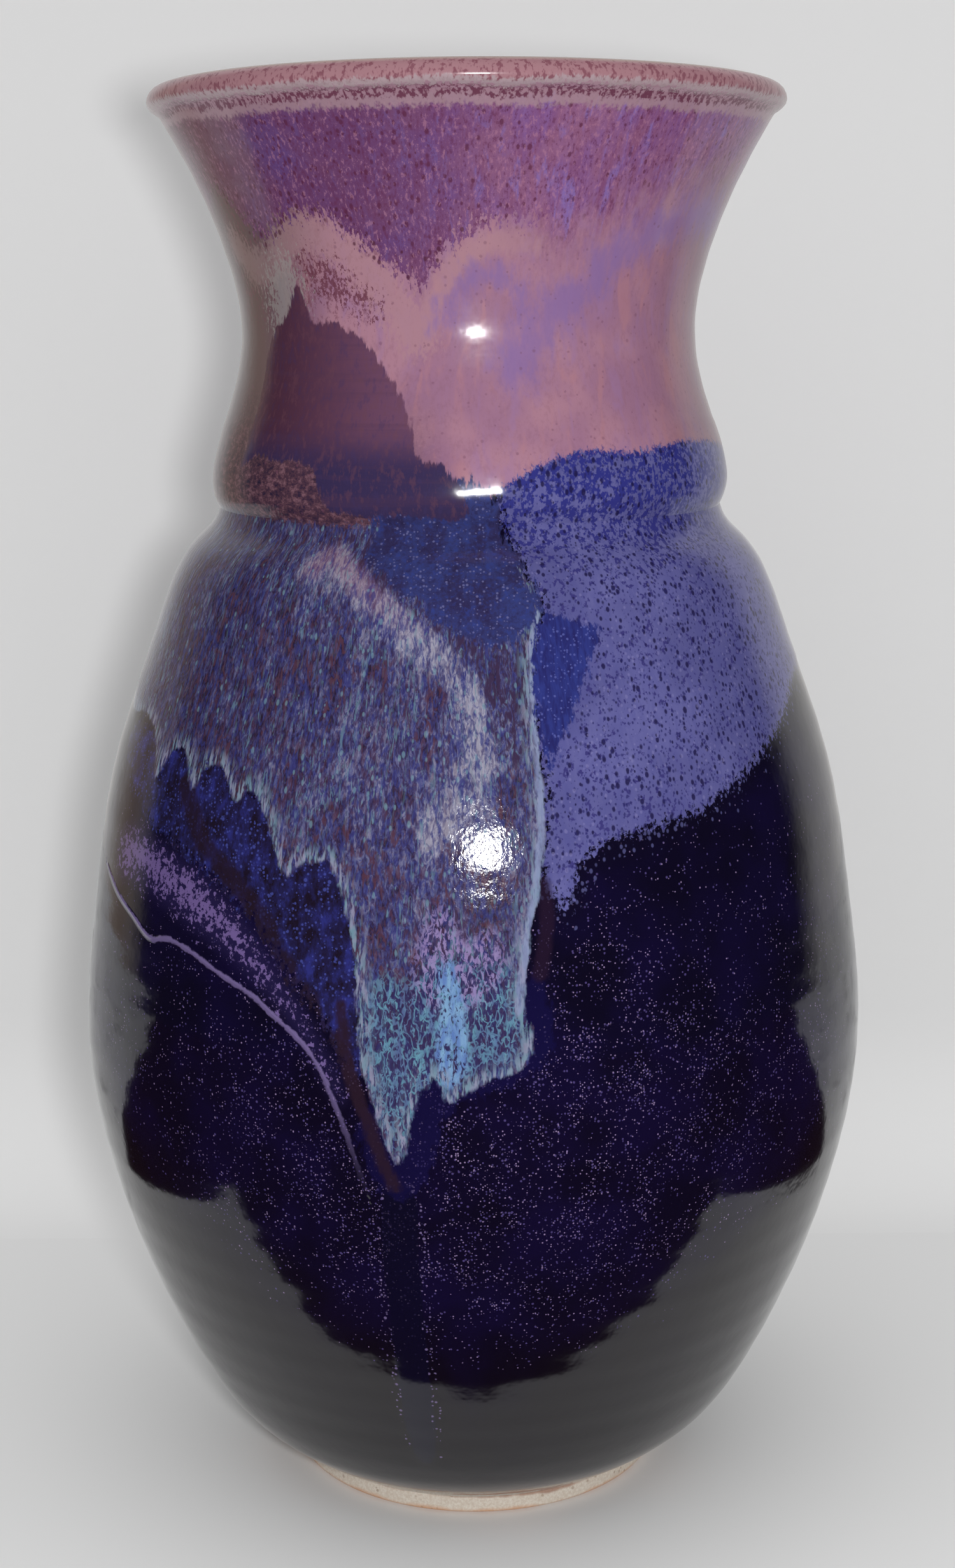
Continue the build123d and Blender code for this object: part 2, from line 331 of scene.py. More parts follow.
GLAZES: dict[str, Union[Pour, Tide]] = {
    "violet": Tide((
        (-175, 322), (-150, 312), (-125, 320), (-100, 326), (-80, 322), (-66, 333), (-60, 328),
        (-55, 321), (-50, 319), (-45, 323), (-38, 325), (-32, 325), (-27, 321), (-22, 317),
        (-18, 313), (-14, 312), (-10, 307), (-7, 314), (-2, 319), (4, 322), (12, 323), (20, 322),
        (28, 327), (38, 332), (50, 337), (62, 340), (80, 334), (100, 322), (120, 310), (135, 316),
        (155, 327),
    )),
    "dust": Pour((
        (-44, 316), (-38, 318), (-28, 314), (-20, 306), (-18, 300), (-24, 299), (-30, 302),
        (-40, 303),
    )),
    "ash": Pour((
        (-58, 312), (-50, 318), (-42, 318), (-38, 308), (-42, 298), (-50, 292), (-58, 298),
    )),
    "plum": Pour((
        (-58, 266), (-57, 276), (-57, 286), (-57, 293), (-54, 298), (-50, 300), (-46, 305),
        (-43, 310), (-41, 302), (-38, 299), (-33, 301), (-30, 298), (-26, 297), (-22, 293),
        (-18, 288), (-15, 283), (-12, 277), (-10.5, 269), (-8, 269), (-5, 268), (-2, 264), (0, 258),
        (-2, 255), (-12, 257), (-22, 256), (-31, 257), (-33, 266), (-38, 269), (-46, 268),
        (-52, 270), (-58, 266),
    )),
    "plum_back": Pour((
        (112, 262), (108, 280), (116, 296), (122, 306), (128, 300), (134, 310), (140, 301),
        (150, 296), (158, 284), (163, 268), (158, 256), (135, 254), (118, 256),
    )),
    "blue_band": Tide((
        (-175, 268), (-150, 262), (-120, 266), (-95, 259), (-75, 256), (-62, 255), (-40, 254),
        (-20, 254), (-4, 255), (3, 260), (8, 264), (12, 267), (17, 269), (23, 271), (30, 271),
        (37, 270), (45, 271), (54, 272), (70, 271), (90, 268), (108, 262), (130, 256), (158, 262),
    )),
    "navy_apron": Pour((
        (-20, 258), (-12, 262), (-3, 266), (2, 264), (5.5, 259), (7.5, 252), (9, 247), (10.5, 242),
        (13, 237), (11, 234), (9, 230), (4, 229), (0, 230), (-5, 234), (-12, 240), (-18, 245),
        (-21, 250),
    )),
    "skirt": Pour((
        (-26, 254), (-17, 252), (-8, 250), (3, 248), (9, 243), (10.5, 228), (10, 216), (8, 203),
        (5, 203), (3.5, 212), (2, 221), (-3, 229), (-8, 234), (-14, 240), (-20, 245), (-26, 250),
    )),
    "turquoise": Pour((
        (-4.6, 160), (-3, 163), (-1.6, 156), (-0.6, 148), (-0.4, 139), (-2, 132.5), (-4, 133),
        (-4.8, 140), (-4.2, 150),
    )),
    "navy_drip": Pour((
        (12, 235), (15, 235.5), (19, 233.5), (22.5, 232), (21, 228), (19, 223), (17, 217),
        (15, 211), (13, 206), (11.6, 202), (10.8, 207), (10, 214), (10, 222), (10.5, 230),
    )),
    "lavender": Pour((
        (5, 262), (8, 252), (10, 246), (13, 238), (11, 230), (10, 215), (11, 200), (10, 190),
        (9.5, 180), (11.5, 174), (13, 171), (14, 180), (16, 184), (21, 187), (30, 189), (36, 191),
        (42, 195), (48, 199), (55, 203), (62, 208), (72, 215), (86, 214), (98, 222), (110, 238),
        (116, 254), (112, 268), (90, 276), (60, 278), (20, 278), (4, 270),
    )),
    "rutile": Pour((
        (-20, 258), (-8, 257), (2, 253), (9, 247), (12.5, 237), (11.2, 232), (10, 222), (10.2, 205),
        (10.5, 192), (9.8, 183), (9, 175), (7.8, 167), (7, 158), (6.6, 150), (8, 144), (7.5, 138),
        (4, 135), (0.5, 133.5), (-2, 130), (-3.2, 129), (-4.2, 133), (-5.2, 136), (-6.8, 130),
        (-8, 123), (-8.8, 117), (-9.8, 113.5), (-11, 118), (-12, 124), (-13.4, 131), (-15, 140),
        (-15.2, 150), (-15.5, 160), (-17, 170), (-18.5, 178), (-20, 183), (-22, 181), (-24, 182),
        (-26.5, 176), (-28.5, 184), (-31, 192), (-34, 197), (-36.5, 191), (-39, 199), (-43, 201),
        (-46, 191), (-48.5, 202), (-53, 202), (-56, 191), (-58, 202), (-66, 208), (-76, 204),
        (-84, 212), (-94, 228), (-98, 246), (-90, 258), (-60, 259), (-30, 259),
    )),
    "rutile_back": Pour((
        (128, 254), (123, 240), (127, 226), (132, 212), (136, 222), (141, 205), (146, 194),
        (150, 208), (154, 190), (158, 170), (162, 150), (165, 136), (168, 127), (171, 141),
        (175, 158), (180, 172), (185, 165), (190, 184), (196, 198), (202, 191), (208, 210),
        (216, 222), (224, 238), (228, 254), (200, 258), (160, 258),
    )),
    "tip": Pour((
        (-15, 152), (-12, 160), (-8, 156), (-4, 166), (0, 160), (5, 162), (7.5, 150), (7, 138),
        (0, 134), (-4, 130), (-8, 122), (-9.5, 113), (-12, 124), (-15, 140),
    )),
    "blotch": Pour((
        (-8, 160), (-6, 172), (-3, 174), (-1, 164), (3, 170), (5, 160), (2, 152), (-3, 150),
        (-7, 152),
    )),
    "crest": Pour((
        (-30, 245), (-28, 248), (-24, 246), (-19, 241), (-14, 236), (-9, 231), (-4, 226), (-1, 220),
        (1, 213), (1, 205), (-1, 197), (-5, 189),
    ), closed=False, half_width=2.2),
    "rim_light": Pour((
        (12.5, 237), (11, 232), (9.8, 222), (9.8, 205), (10, 192), (9.4, 183), (8.4, 175),
        (7.4, 167), (6.6, 158), (6.0, 150),
    ), closed=False, half_width=0.9),
    "royal": Pour((
        (-70, 206), (-58, 202), (-40, 202), (-24, 186), (-14, 178), (-13, 160), (-13.5, 140),
        (-15, 132), (-18, 142), (-22, 151), (-27, 159), (-32, 168), (-38, 175), (-47, 180),
        (-55, 184), (-62, 190), (-72, 196),
    )),
    "umber": Pour((
        (-47, 194), (-44, 186), (-39, 180), (-34, 174), (-30, 168), (-27, 161), (-24, 153),
        (-20, 145), (-17, 136),
    ), closed=False, half_width=2.6),
    "halo": Pour((
        (-17.4, 150), (-16.8, 140), (-15.2, 131), (-13.4, 123), (-11.8, 115), (-10.2, 109),
    ), closed=False, half_width=1.6),
    "side_umber": Pour((
        (9.6, 178), (10.2, 170), (9.4, 163), (8.8, 158),
    ), closed=False, half_width=1.8),
    "fringe": Pour((
        (-16, 126), (-13.5, 112), (-12, 106), (-7, 106), (-5, 116), (-4, 126), (0, 131), (6, 134),
        (9, 137), (10.5, 138), (10.5, 150), (9, 158), (7, 158), (5, 150), (-5, 140),
    )),
    "lilac": Pour((
        (-66, 180), (-58, 183), (-50, 180), (-42, 177), (-36, 172), (-31, 165), (-27, 158),
        (-23, 150), (-19, 140), (-16, 128), (-18, 128), (-22, 140), (-27, 148), (-33, 156),
        (-40, 161), (-48, 165), (-56, 168), (-66, 166),
    )),
    "bead": Pour(BEAD_LINE, closed=False, half_width=0.75),
    "bead_side": Pour(BEAD_LINE, closed=False, sided=True),
    "long_drip": Pour((
        (-12.4, 110), (-7.2, 110), (-7.4, 90), (-7.2, 60), (-7.0, 34), (-8.4, 26), (-11, 26),
        (-12.4, 36), (-12.2, 70),
    )),
    "arches": Pour((
        (-66, 318), (-58, 312), (-50, 314), (-42, 320), (-34, 320), (-27, 315), (-21, 309),
        (-16, 303), (-12, 297),
    ), closed=False, half_width=4.5),
    "arch_right": Pour((
        (-10, 298), (-7, 306), (-3, 313), (3, 317), (9, 318), (16, 317),
    ), closed=False, half_width=2.6),
    "swoosh": Pour((
        (11, 290), (15, 295), (20, 301), (26, 307), (33, 313), (42, 319), (52, 323), (64, 326),
        (80, 322),
    ), closed=False, half_width=4.6),
    "curl": Pour((
        (-6, 300), (-4, 305), (0, 309), (5, 310.5), (10, 309), (13, 305), (14, 299),
    ), closed=False, half_width=2.0),
}


def sea_mist(skin: Skin) -> np.ndarray:
    """How thickly pale micro-specks float in the dark glaze, from 0 to 1."""
    around = np.degrees(skin.angle)
    front = np.exp(-(((around - 2.0) / 34.0) ** 2))
    back = 0.8 * np.exp(-(((np.abs(around) - 165.0) / 40.0) ** 2))
    brim = 56.0 + 30.0 * np.minimum(np.abs(around) / 50.0, 1.0) ** 2
    low = np.clip((skin.height - brim) / 42.0, 0.0, 1.0)
    high = np.clip((205.0 - skin.height) / 70.0, 0.25, 1.0)
    return np.clip((front + back + 0.25) * low * high, 0.0, 1.0)


# --- Meshes ------------------------------------------------------------------------------


def offset_line(line: np.ndarray, depth: float) -> np.ndarray:
    """A half outline moved sideways, towards the clay under it.

    Args:
        line: Points as (radius, height), running up the outside.
        depth: How far to move, in millimetres.

    Returns:
        The moved points.
    """
    heading = np.gradient(line, axis=0)
    heading /= np.linalg.norm(heading, axis=1)[:, None]
    return line + depth * np.column_stack([-heading[:, 1], heading[:, 0]])


def turn_mesh(name: str, line: np.ndarray, closed: bool, steps: int) -> bpy.types.Mesh:
    """Turns a half outline about the axis into a closed skin.

    Args:
        name: The mesh's name.
        line: Points as (radius, height) in millimetres.
        closed: Whether the outline is a loop; otherwise its ends are on the axis.
        steps: How many segments go round.

    Returns:
        The mesh, smooth except at its thin edges.
    """
    shape = bmesh.new()
    verts = [shape.verts.new((radius * MM, 0.0, height * MM)) for radius, height in line]
    pairs = list(zip(verts, verts[1:]))
    if closed:
        pairs.append((verts[-1], verts[0]))
    edges = [shape.edges.new(pair) for pair in pairs]
    bmesh.ops.spin(
        shape,
        geom=verts + edges,
        cent=(0.0, 0.0, 0.0),
        axis=(0.0, 0.0, 1.0),
        angle=FULL_TURN,
        steps=steps,
        use_merge=True,
    )
    bmesh.ops.remove_doubles(shape, verts=shape.verts, dist=0.005 * MM)
    bmesh.ops.recalc_face_normals(shape, faces=shape.faces)
    for face in shape.faces:
        face.smooth = True
    for edge in shape.edges:
        if len(edge.link_faces) == 2 and edge.calc_face_angle() > math.radians(45.0):
            edge.smooth = False
    mesh = bpy.data.meshes.new(name)
    shape.to_mesh(mesh)
    shape.free()
    return mesh


def vertex_places(mesh: bpy.types.Mesh) -> np.ndarray:
    """The mesh's vertices in millimetres, one row each."""
    places = np.empty(len(mesh.vertices) * 3)
    mesh.vertices.foreach_get("co", places)
    return places.reshape(-1, 3) / MM


def skin_of(places: np.ndarray) -> Skin:
    """The places of vertices on the turned surface."""
    angle = np.arctan2(places[:, 0], -places[:, 1])
    height = places[:, 2]
    radius = np.hypot(places[:, 0], places[:, 1])
    return Skin(angle, height, radius, MERIDIAN.distance(height))


def store(mesh: bpy.types.Mesh, name: str, values: np.ndarray) -> None:
    """Keeps one number, or one vector, on every vertex.

    Args:
        mesh: The mesh.
        name: The attribute's name, which the finishes read.
        values: One value or row for each vertex.
    """
    vector = values.ndim == 2
    layer = mesh.attributes.new(name, "FLOAT_VECTOR" if vector else "FLOAT", "POINT")
    layer.data.foreach_set("vector" if vector else "value", values.astype(np.float32).ravel())


def hang(mesh: bpy.types.Mesh, finish: bpy.types.Material, slot: str, *replaced: str) -> bpy.types.Object:
    """Makes a mesh a piece of the vase.

    Args:
        mesh: The mesh, whose name the piece takes.
        finish: Its material.
        slot: The record's material slot; not used.
        *replaced: The CAD nodes that it stands for.

    Returns:
        The new piece.
    """
    mesh.materials.append(finish)
    piece = bpy.data.objects.new(mesh.name, mesh)
    bpy.context.scene.collection.objects.link(piece)
    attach(piece, "root")
    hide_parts(*replaced)
    LOG.info("%s: %d vertices", piece.name, len(mesh.vertices))
    return piece


def ease(value: np.ndarray) -> np.ndarray:
    """A smooth step from 0 to 1."""
    value = np.clip(value, 0.0, 1.0)
    return value * value * (3.0 - 2.0 * value)


@dataclass(frozen=True)
class Relief:
    """How far the coat stands out of the turned surface, in millimetres."""

    finger_depth: float = 0.03
    finger_pitch: float = 8.6
    sway_depth: float = 0.13
    sway_size: float = 26.0
    pour_depth: float = 0.32
    drip_depth: float = 0.22

    def fingers(self, skin: Skin) -> np.ndarray:
        """The spiral finger marks left by throwing."""
        spiral = skin.along / self.finger_pitch - skin.angle / FULL_TURN
        second = skin.along / (1.7 * self.finger_pitch) - skin.angle / FULL_TURN
        return self.finger_depth * (np.sin(FULL_TURN * spiral) + 0.7 * np.sin(FULL_TURN * second))

    def sway(self, places: np.ndarray) -> np.ndarray:
        """The slow unevenness of a hand-thrown wall."""
        size = self.sway_size
        coarse = [noise.noise(Vector(place) / size) for place in places]
        fine = [noise.noise(Vector(place) / (0.37 * size)) for place in places]
        return self.sway_depth * (np.array(coarse) + 0.3 * np.array(fine))

    def glazes(self, depths: dict[str, np.ndarray]) -> np.ndarray:
        """The thickness of the pours and the drip."""
        rutile = np.maximum(depths["rutile"], depths["rutile_back"])
        lift = self.pour_depth * ease((rutile + 1.5) / 4.0)
        lift = np.maximum(lift, 0.8 * self.pour_depth * ease((depths["lavender"] + 1.0) / 3.0))
        plum = np.maximum(depths["plum"], depths["plum_back"])
        lift += 0.5 * self.pour_depth * ease((plum + 0.8) / 2.4)
        lift += self.drip_depth * ease((depths["long_drip"] + 1.5) / 4.0)
        return lift


@dataclass(frozen=True)
class Coat:
    """One turned coat of glaze on the outside, between two heights of the clay.

    Args:
        name: The piece's name.
        replaced: The CAD nodes that it stands for.
        slot: The record's material slot.
        spacing: Distance between rings, in millimetres.
        upper: Whether it is the part above the groove.
        steps: How many segments go round.
        backing_stride: How many rings of the face share one on the clay side.
    """

    name: str
    replaced: tuple[str, ...]
    slot: str
    spacing: float
    upper: bool
    steps: int = 360
    backing_stride: int = 6

    def half_outline(self) -> np.ndarray:
        """The coat's closed section, glaze face first and clay face after."""
        face = joined_runs(OUTSIDE[1:] if self.upper else OUTSIDE[:1], self.spacing)
        under = offset_line(face, GLAZE_DEPTH)
        back = under[:: -self.backing_stride]
        if np.linalg.norm(back[-1] - face[0]) > 2.0 * GLAZE_DEPTH:
            back = np.vstack([back, under[:1]])
        return np.vstack([face, back])

    def build(self, relief: Relief, finish: bpy.types.Material) -> bpy.types.Object:
        """Makes the coat, gives it relief and glaze places, and hangs it on the vase.

        Args:
            relief: The coat's unevenness.
            finish: The glaze.

        Returns:
            The new piece.
        """
        mesh = turn_mesh(self.name, self.half_outline(), True, self.steps)
        places = vertex_places(mesh)
        skin = skin_of(places)
        depths = {name: glaze.depth(skin) for name, glaze in GLAZES.items()}
        outer = ease((skin.radius - MERIDIAN.radius(skin.height) + 0.35) / 0.3)
        outer *= ease((CREST_HEIGHT - 5.0 - skin.height) / 6.0)
        outer *= ease((skin.height - FOOT_HEIGHT) / 3.0)
        lift = outer * (relief.fingers(skin) + relief.sway(places) + relief.glazes(depths))
        scale = 1.0 + lift / skin.radius
        places[:, 0] *= scale
        places[:, 1] *= scale
        mesh.vertices.foreach_set("co", (places * MM).ravel())
        for name, depth in depths.items():
            store(mesh, name, np.clip(depth, -DEPTH_LIMIT, DEPTH_LIMIT))
        store(mesh, "mist", sea_mist(skin))
        round_x, round_y = FLOW_RADIUS * np.sin(skin.angle), -FLOW_RADIUS * np.cos(skin.angle)
        store(mesh, "flow", np.column_stack([round_x, round_y, skin.along]))
        return hang(mesh, finish, self.slot, *self.replaced)


# --- Shader building ---------------------------------------------------------------------


def paint(red: float, green: float, blue: float) -> Colour:
    """A colour given 0 to 255, as the shader's linear colour."""
    shares = [part / 255.0 for part in (red, green, blue)]
    linear = [share / 12.92 if share <= 0.04045 else ((share + 0.055) / 1.055) ** 2.4 for share in shares]
    return (linear[0], linear[1], linear[2], 1.0)


class Effect(Enum):
    """The shared effects, each a node group built once."""

    EDGE = "frayed_edge"
    FLECKS = "flecks"
    STREAKS = "streaks"


class Wire:
    """A value on its way through a graph, which adds and multiplies like a number.

    Two masks multiplied give where both are, and | gives the larger of two values.
    """

    def __init__(self, graph: "Graph", socket: bpy.types.NodeSocket) -> None:
        """Takes the graph and the socket that the value leaves by."""
        self.graph = graph
        self.socket = socket

    def __add__(self, other: Value) -> "Wire":
        """The sum."""
        return self.graph.math("ADD", self, other)

    def __sub__(self, other: Value) -> "Wire":
        """The difference."""
        return self.graph.math("SUBTRACT", self, other)

    def __rsub__(self, other: Value) -> "Wire":
        """The difference from a number."""
        return self.graph.math("SUBTRACT", other, self)

    def __mul__(self, other: Value) -> "Wire":
        """The product."""
        return self.graph.math("MULTIPLY", self, other)

    def __rtruediv__(self, other: Value) -> "Wire":
        """A number shared out by this value."""
        return self.graph.math("DIVIDE", other, self)

    def __truediv__(self, other: Value) -> "Wire":
        """The quotient."""
        return self.graph.math("DIVIDE", self, other)

    def __or__(self, other: Value) -> "Wire":
        """The larger of the two."""
        return self.graph.math("MAXIMUM", self, other)

    def __lt__(self, other: Value) -> "Wire":
        """One where this is smaller, and nought elsewhere."""
        return self.graph.math("LESS_THAN", self, other)

    def __abs__(self) -> "Wire":
        """The size without its sign."""
        return self.graph.math("ABSOLUTE", self)

    def step(self, low: Value, high: Value, start: Value = 0.0, end: Value = 1.0) -> "Wire":
        """A smooth step from start to end, as this goes from low to high."""
        node = self.graph.add("ShaderNodeMapRange", interpolation_type="SMOOTHSTEP")
        for socket, given in zip(node.inputs, (self, low, high, start, end)):
            self.graph.feed(socket, given)
        return Wire(self.graph, node.outputs[0])

    def lay(self, over: Value, mask: Value) -> "Wire":
        """This colour with another laid over it where a mask is."""
        return self.graph.mix(mask, self, over)

    def stretch(self, across: Value, down: Value) -> "Wire":
        """This place, multiplied across both ways and down."""
        node = self.graph.add("ShaderNodeVectorMath", operation="MULTIPLY")
        self.graph.feed(node.inputs[0], self)
        if isinstance(across, Wire):
            parts = self.graph.add("ShaderNodeCombineXYZ")
            for socket, factor in zip(parts.inputs, (across, across, down)):
                self.graph.feed(socket, factor)
            self.graph.feed(node.inputs[1], Wire(self.graph, parts.outputs[0]))
        else:
            node.inputs[1].default_value = (across, across, down)
        return Wire(self.graph, node.outputs[0])

    def parts(self) -> tuple["Wire", "Wire", "Wire"]:
        """This place's three coordinates."""
        node = self.graph.add("ShaderNodeSeparateXYZ")
        self.graph.feed(node.inputs[0], self)
        return tuple(Wire(self.graph, socket) for socket in node.outputs)


class Graph:
    """Adds nodes to one node tree and joins them with wires."""

    def __init__(self, tree: bpy.types.NodeTree) -> None:
        """Takes the tree to build in."""
        self.tree = tree

    def add(self, kind: str, **settings: object) -> bpy.types.Node:
        """Adds a node and sets its properties."""
        node = self.tree.nodes.new(kind)
        for name, value in settings.items():
            setattr(node, name, value)
        return node

    def feed(self, socket: bpy.types.NodeSocket, value: Value) -> None:
        """Joins a wire to a socket, or sets the socket's own value."""
        if isinstance(value, Wire):
            self.tree.links.new(value.socket, socket)
        else:
            socket.default_value = value

    def math(self, operation: str, first: Value, second: Value = 0.0) -> Wire:
        """A Math node's result."""
        node = self.add("ShaderNodeMath", operation=operation)
        self.feed(node.inputs[0], first)
        self.feed(node.inputs[1], second)
        return Wire(self, node.outputs[0])

    def mix(self, mask: Value, under: Value, over: Value) -> Wire:
        """A colour laid over another where a mask is."""
        node = self.add("ShaderNodeMix", data_type="RGBA")
        for place, value in ((0, mask), (6, under), (7, over)):
            self.feed(node.inputs[place], value)
        return Wire(self, node.outputs[2])

    def noise(
        self,
        place: Wire,
        across: Value,
        down: Optional[Value] = None,
        detail: float = 3.0,
        rough: float = 0.6,
        warp: Value = 0.0,
        tinted: bool = False,
    ) -> Wire:
        """A cloudy texture about one half.

        Args:
            place: Where the surface is, in millimetres.
            across: How many clouds there are in a millimetre across.
            down: How many there are down; as many as across if it isn't given.
            detail: How many finer layers there are.
            rough: How strong the finer layers are.
            warp: How far the clouds are bent.
            tinted: Whether it is a colour, to move a place by.

        Returns:
            The texture's value.
        """
        node = self.add("ShaderNodeTexNoise", noise_dimensions="3D")
        self.feed(node.inputs["Vector"], place.stretch(across, across if down is None else down))
        for name, value in (("Scale", 1.0), ("Detail", detail), ("Roughness", rough), ("Distortion", warp)):
            self.feed(node.inputs[name], value)
        return Wire(self, node.outputs[1 if tinted else 0])

    def field(self, name: str, output: str = "Fac") -> Wire:
        """What is kept on the vertices under a name."""
        return Wire(self, self.add("ShaderNodeAttribute", attribute_name=name).outputs[output])

    def ramp(self, value: Wire, *stops: tuple[float, Colour]) -> Wire:
        """A colour picked along some stops."""
        node = self.add("ShaderNodeValToRGB")
        band = node.color_ramp.elements
        for index, (place, colour) in enumerate(stops):
            stop = band[index] if index < 2 else band.new(place)
            stop.position = place
            stop.color = colour
        self.feed(node.inputs[0], value)
        return Wire(self, node.outputs[0])

    def call(self, kind: Effect, **given: Value) -> Wire:
        """Places a shared effect with its own values."""
        group = bpy.data.node_groups.get(kind.value) or BUILDERS[kind]()
        node = self.add("ShaderNodeGroup", node_tree=group)
        for name, value in given.items():
            self.feed(node.inputs[name], value)
        return Wire(self, node.outputs[0])


class EffectGraph(Graph):
    """The inside of a shared effect: a place and some numbers in, one value out."""

    def __init__(self, kind: Effect, result: str, **numbers: float) -> None:
        """Starts the effect's node group.

        Args:
            kind: Which effect it is.
            result: The output's name.
            **numbers: The inputs beside Place, and each one's value when nothing is given.
        """
        super().__init__(bpy.data.node_groups.new(kind.value, "ShaderNodeTree"))
        face = self.tree.interface
        face.new_socket(name="Place", in_out="INPUT", socket_type="NodeSocketVector")
        for name, value in numbers.items():
            face.new_socket(name=name, in_out="INPUT", socket_type="NodeSocketFloat").default_value = value
        face.new_socket(name=result, in_out="OUTPUT", socket_type="NodeSocketFloat")
        entry = self.add("NodeGroupInput")
        self.given = {socket.name: Wire(self, socket) for socket in entry.outputs if socket.name}
        self.leave = self.add("NodeGroupOutput")

    def finish(self, value: Wire) -> bpy.types.NodeTree:
        """Sends the result out, and gives the group back."""
        self.feed(self.leave.inputs[0], value)
        return self.tree


def frayed_edge() -> bpy.types.NodeTree:
    """An outline's edge broken up by grain: Depth in, Mask out."""
    effect = EffectGraph(Effect.EDGE, "Mask", Depth=0.0, Fray=1.0, Grain=1.0, Stretch=1.0, Soft=0.3)
    given = effect.given
    across = 1.0 / given["Grain"]
    grain = effect.noise(given["Place"], across, across / given["Stretch"], rough=0.7)
    depth = given["Depth"] + (grain - 0.5) * (given["Fray"] * 4.0)
    return effect.finish(depth.step(given["Soft"] * -1.0, given["Soft"]))


def flecks() -> bpy.types.NodeTree:
    """Separate flecks of one size: Share of cells in, Mask out."""
    effect = EffectGraph(Effect.FLECKS, "Mask", Size=1.0, Stretch=1.0, Share=0.5)
    given = effect.given
    across = 1.0 / given["Size"]
    cells = effect.add("ShaderNodeTexVoronoi", feature="F1", distance="EUCLIDEAN", voronoi_dimensions="3D")
    cells.inputs["Scale"].default_value = 1.0
    effect.feed(cells.inputs["Vector"], given["Place"].stretch(across, across / given["Stretch"]))
    chance, size, _ = Wire(effect, cells.outputs["Color"]).parts()
    reach = size * 0.34 + 0.2
    dot = Wire(effect, cells.outputs["Distance"]).step(reach, reach * 0.55)
    return effect.finish(dot * (chance < given["Share"]))


def streaks() -> bpy.types.NodeTree:
    """Melted runs drawn down the wall: a Value about one half."""
    effect = EffectGraph(Effect.STREAKS, "Value", Width=1.0, Length=5.0, Warp=0.5)
    given = effect.given
    texture = effect.noise(
        given["Place"], 1.0 / given["Width"], 1.0 / given["Length"], rough=0.62, warp=given["Warp"]
    )
    return effect.finish(texture.step(0.3, 0.7))


BUILDERS = {Effect.EDGE: frayed_edge, Effect.FLECKS: flecks, Effect.STREAKS: streaks}


class Surface(Graph):
    """A new material, its Principled shader, and where on the vase it is being asked."""

    def __init__(self, name: str) -> None:
        """Starts the material, with its place, side and height in millimetres."""
        self.material = bpy.data.materials.new(name)
        self.material.use_nodes = True
        super().__init__(self.material.node_tree)
        self.shader = self.tree.nodes["Principled BSDF"]
        spot = Wire(self, self.add("ShaderNodeTexCoord").outputs["Object"])
        self.place = spot.stretch(1 / MM, 1 / MM)
        self.side, self.behind, self.height = self.place.parts()

    def dress(self, colour: Value, roughness: Value) -> None:
        """Gives the shader its colour and roughness."""
        self.feed(self.shader.inputs["Base Color"], colour)
        self.feed(self.shader.inputs["Roughness"], roughness)

    def bump(self, height: Wire, distance: float, strength: float = 1.0) -> None:
        """Roughens the surface by a height of so many millimetres."""
        node = self.add("ShaderNodeBump")
        node.inputs["Strength"].default_value = strength
        node.inputs["Distance"].default_value = distance * MM
        self.feed(node.inputs["Height"], height)
        self.feed(self.shader.inputs["Normal"], Wire(self, node.outputs[0]))

    def fleck(self, size: float, share: Value, stretch: float = 1.0) -> Wire:
        """A mask of separate flecks, of a size in millimetres."""
        return self.call(Effect.FLECKS, Place=self.place, Size=size, Share=share, Stretch=stretch)

    def blend(self, mask: Wire, other: bpy.types.Node) -> None:
        """Shows another shader in place of the Principled one where a mask is."""
        swap = self.add("ShaderNodeMixShader")
        self.feed(swap.inputs[0], mask)
        self.feed(swap.inputs[1], Wire(self, self.shader.outputs[0]))
        self.feed(swap.inputs[2], Wire(self, other.outputs[0]))
        out = self.tree.nodes["Material Output"]
        self.feed(out.inputs["Surface"], Wire(self, swap.outputs[0]))


# --- Finishes ----------------------------------------------------------------------------


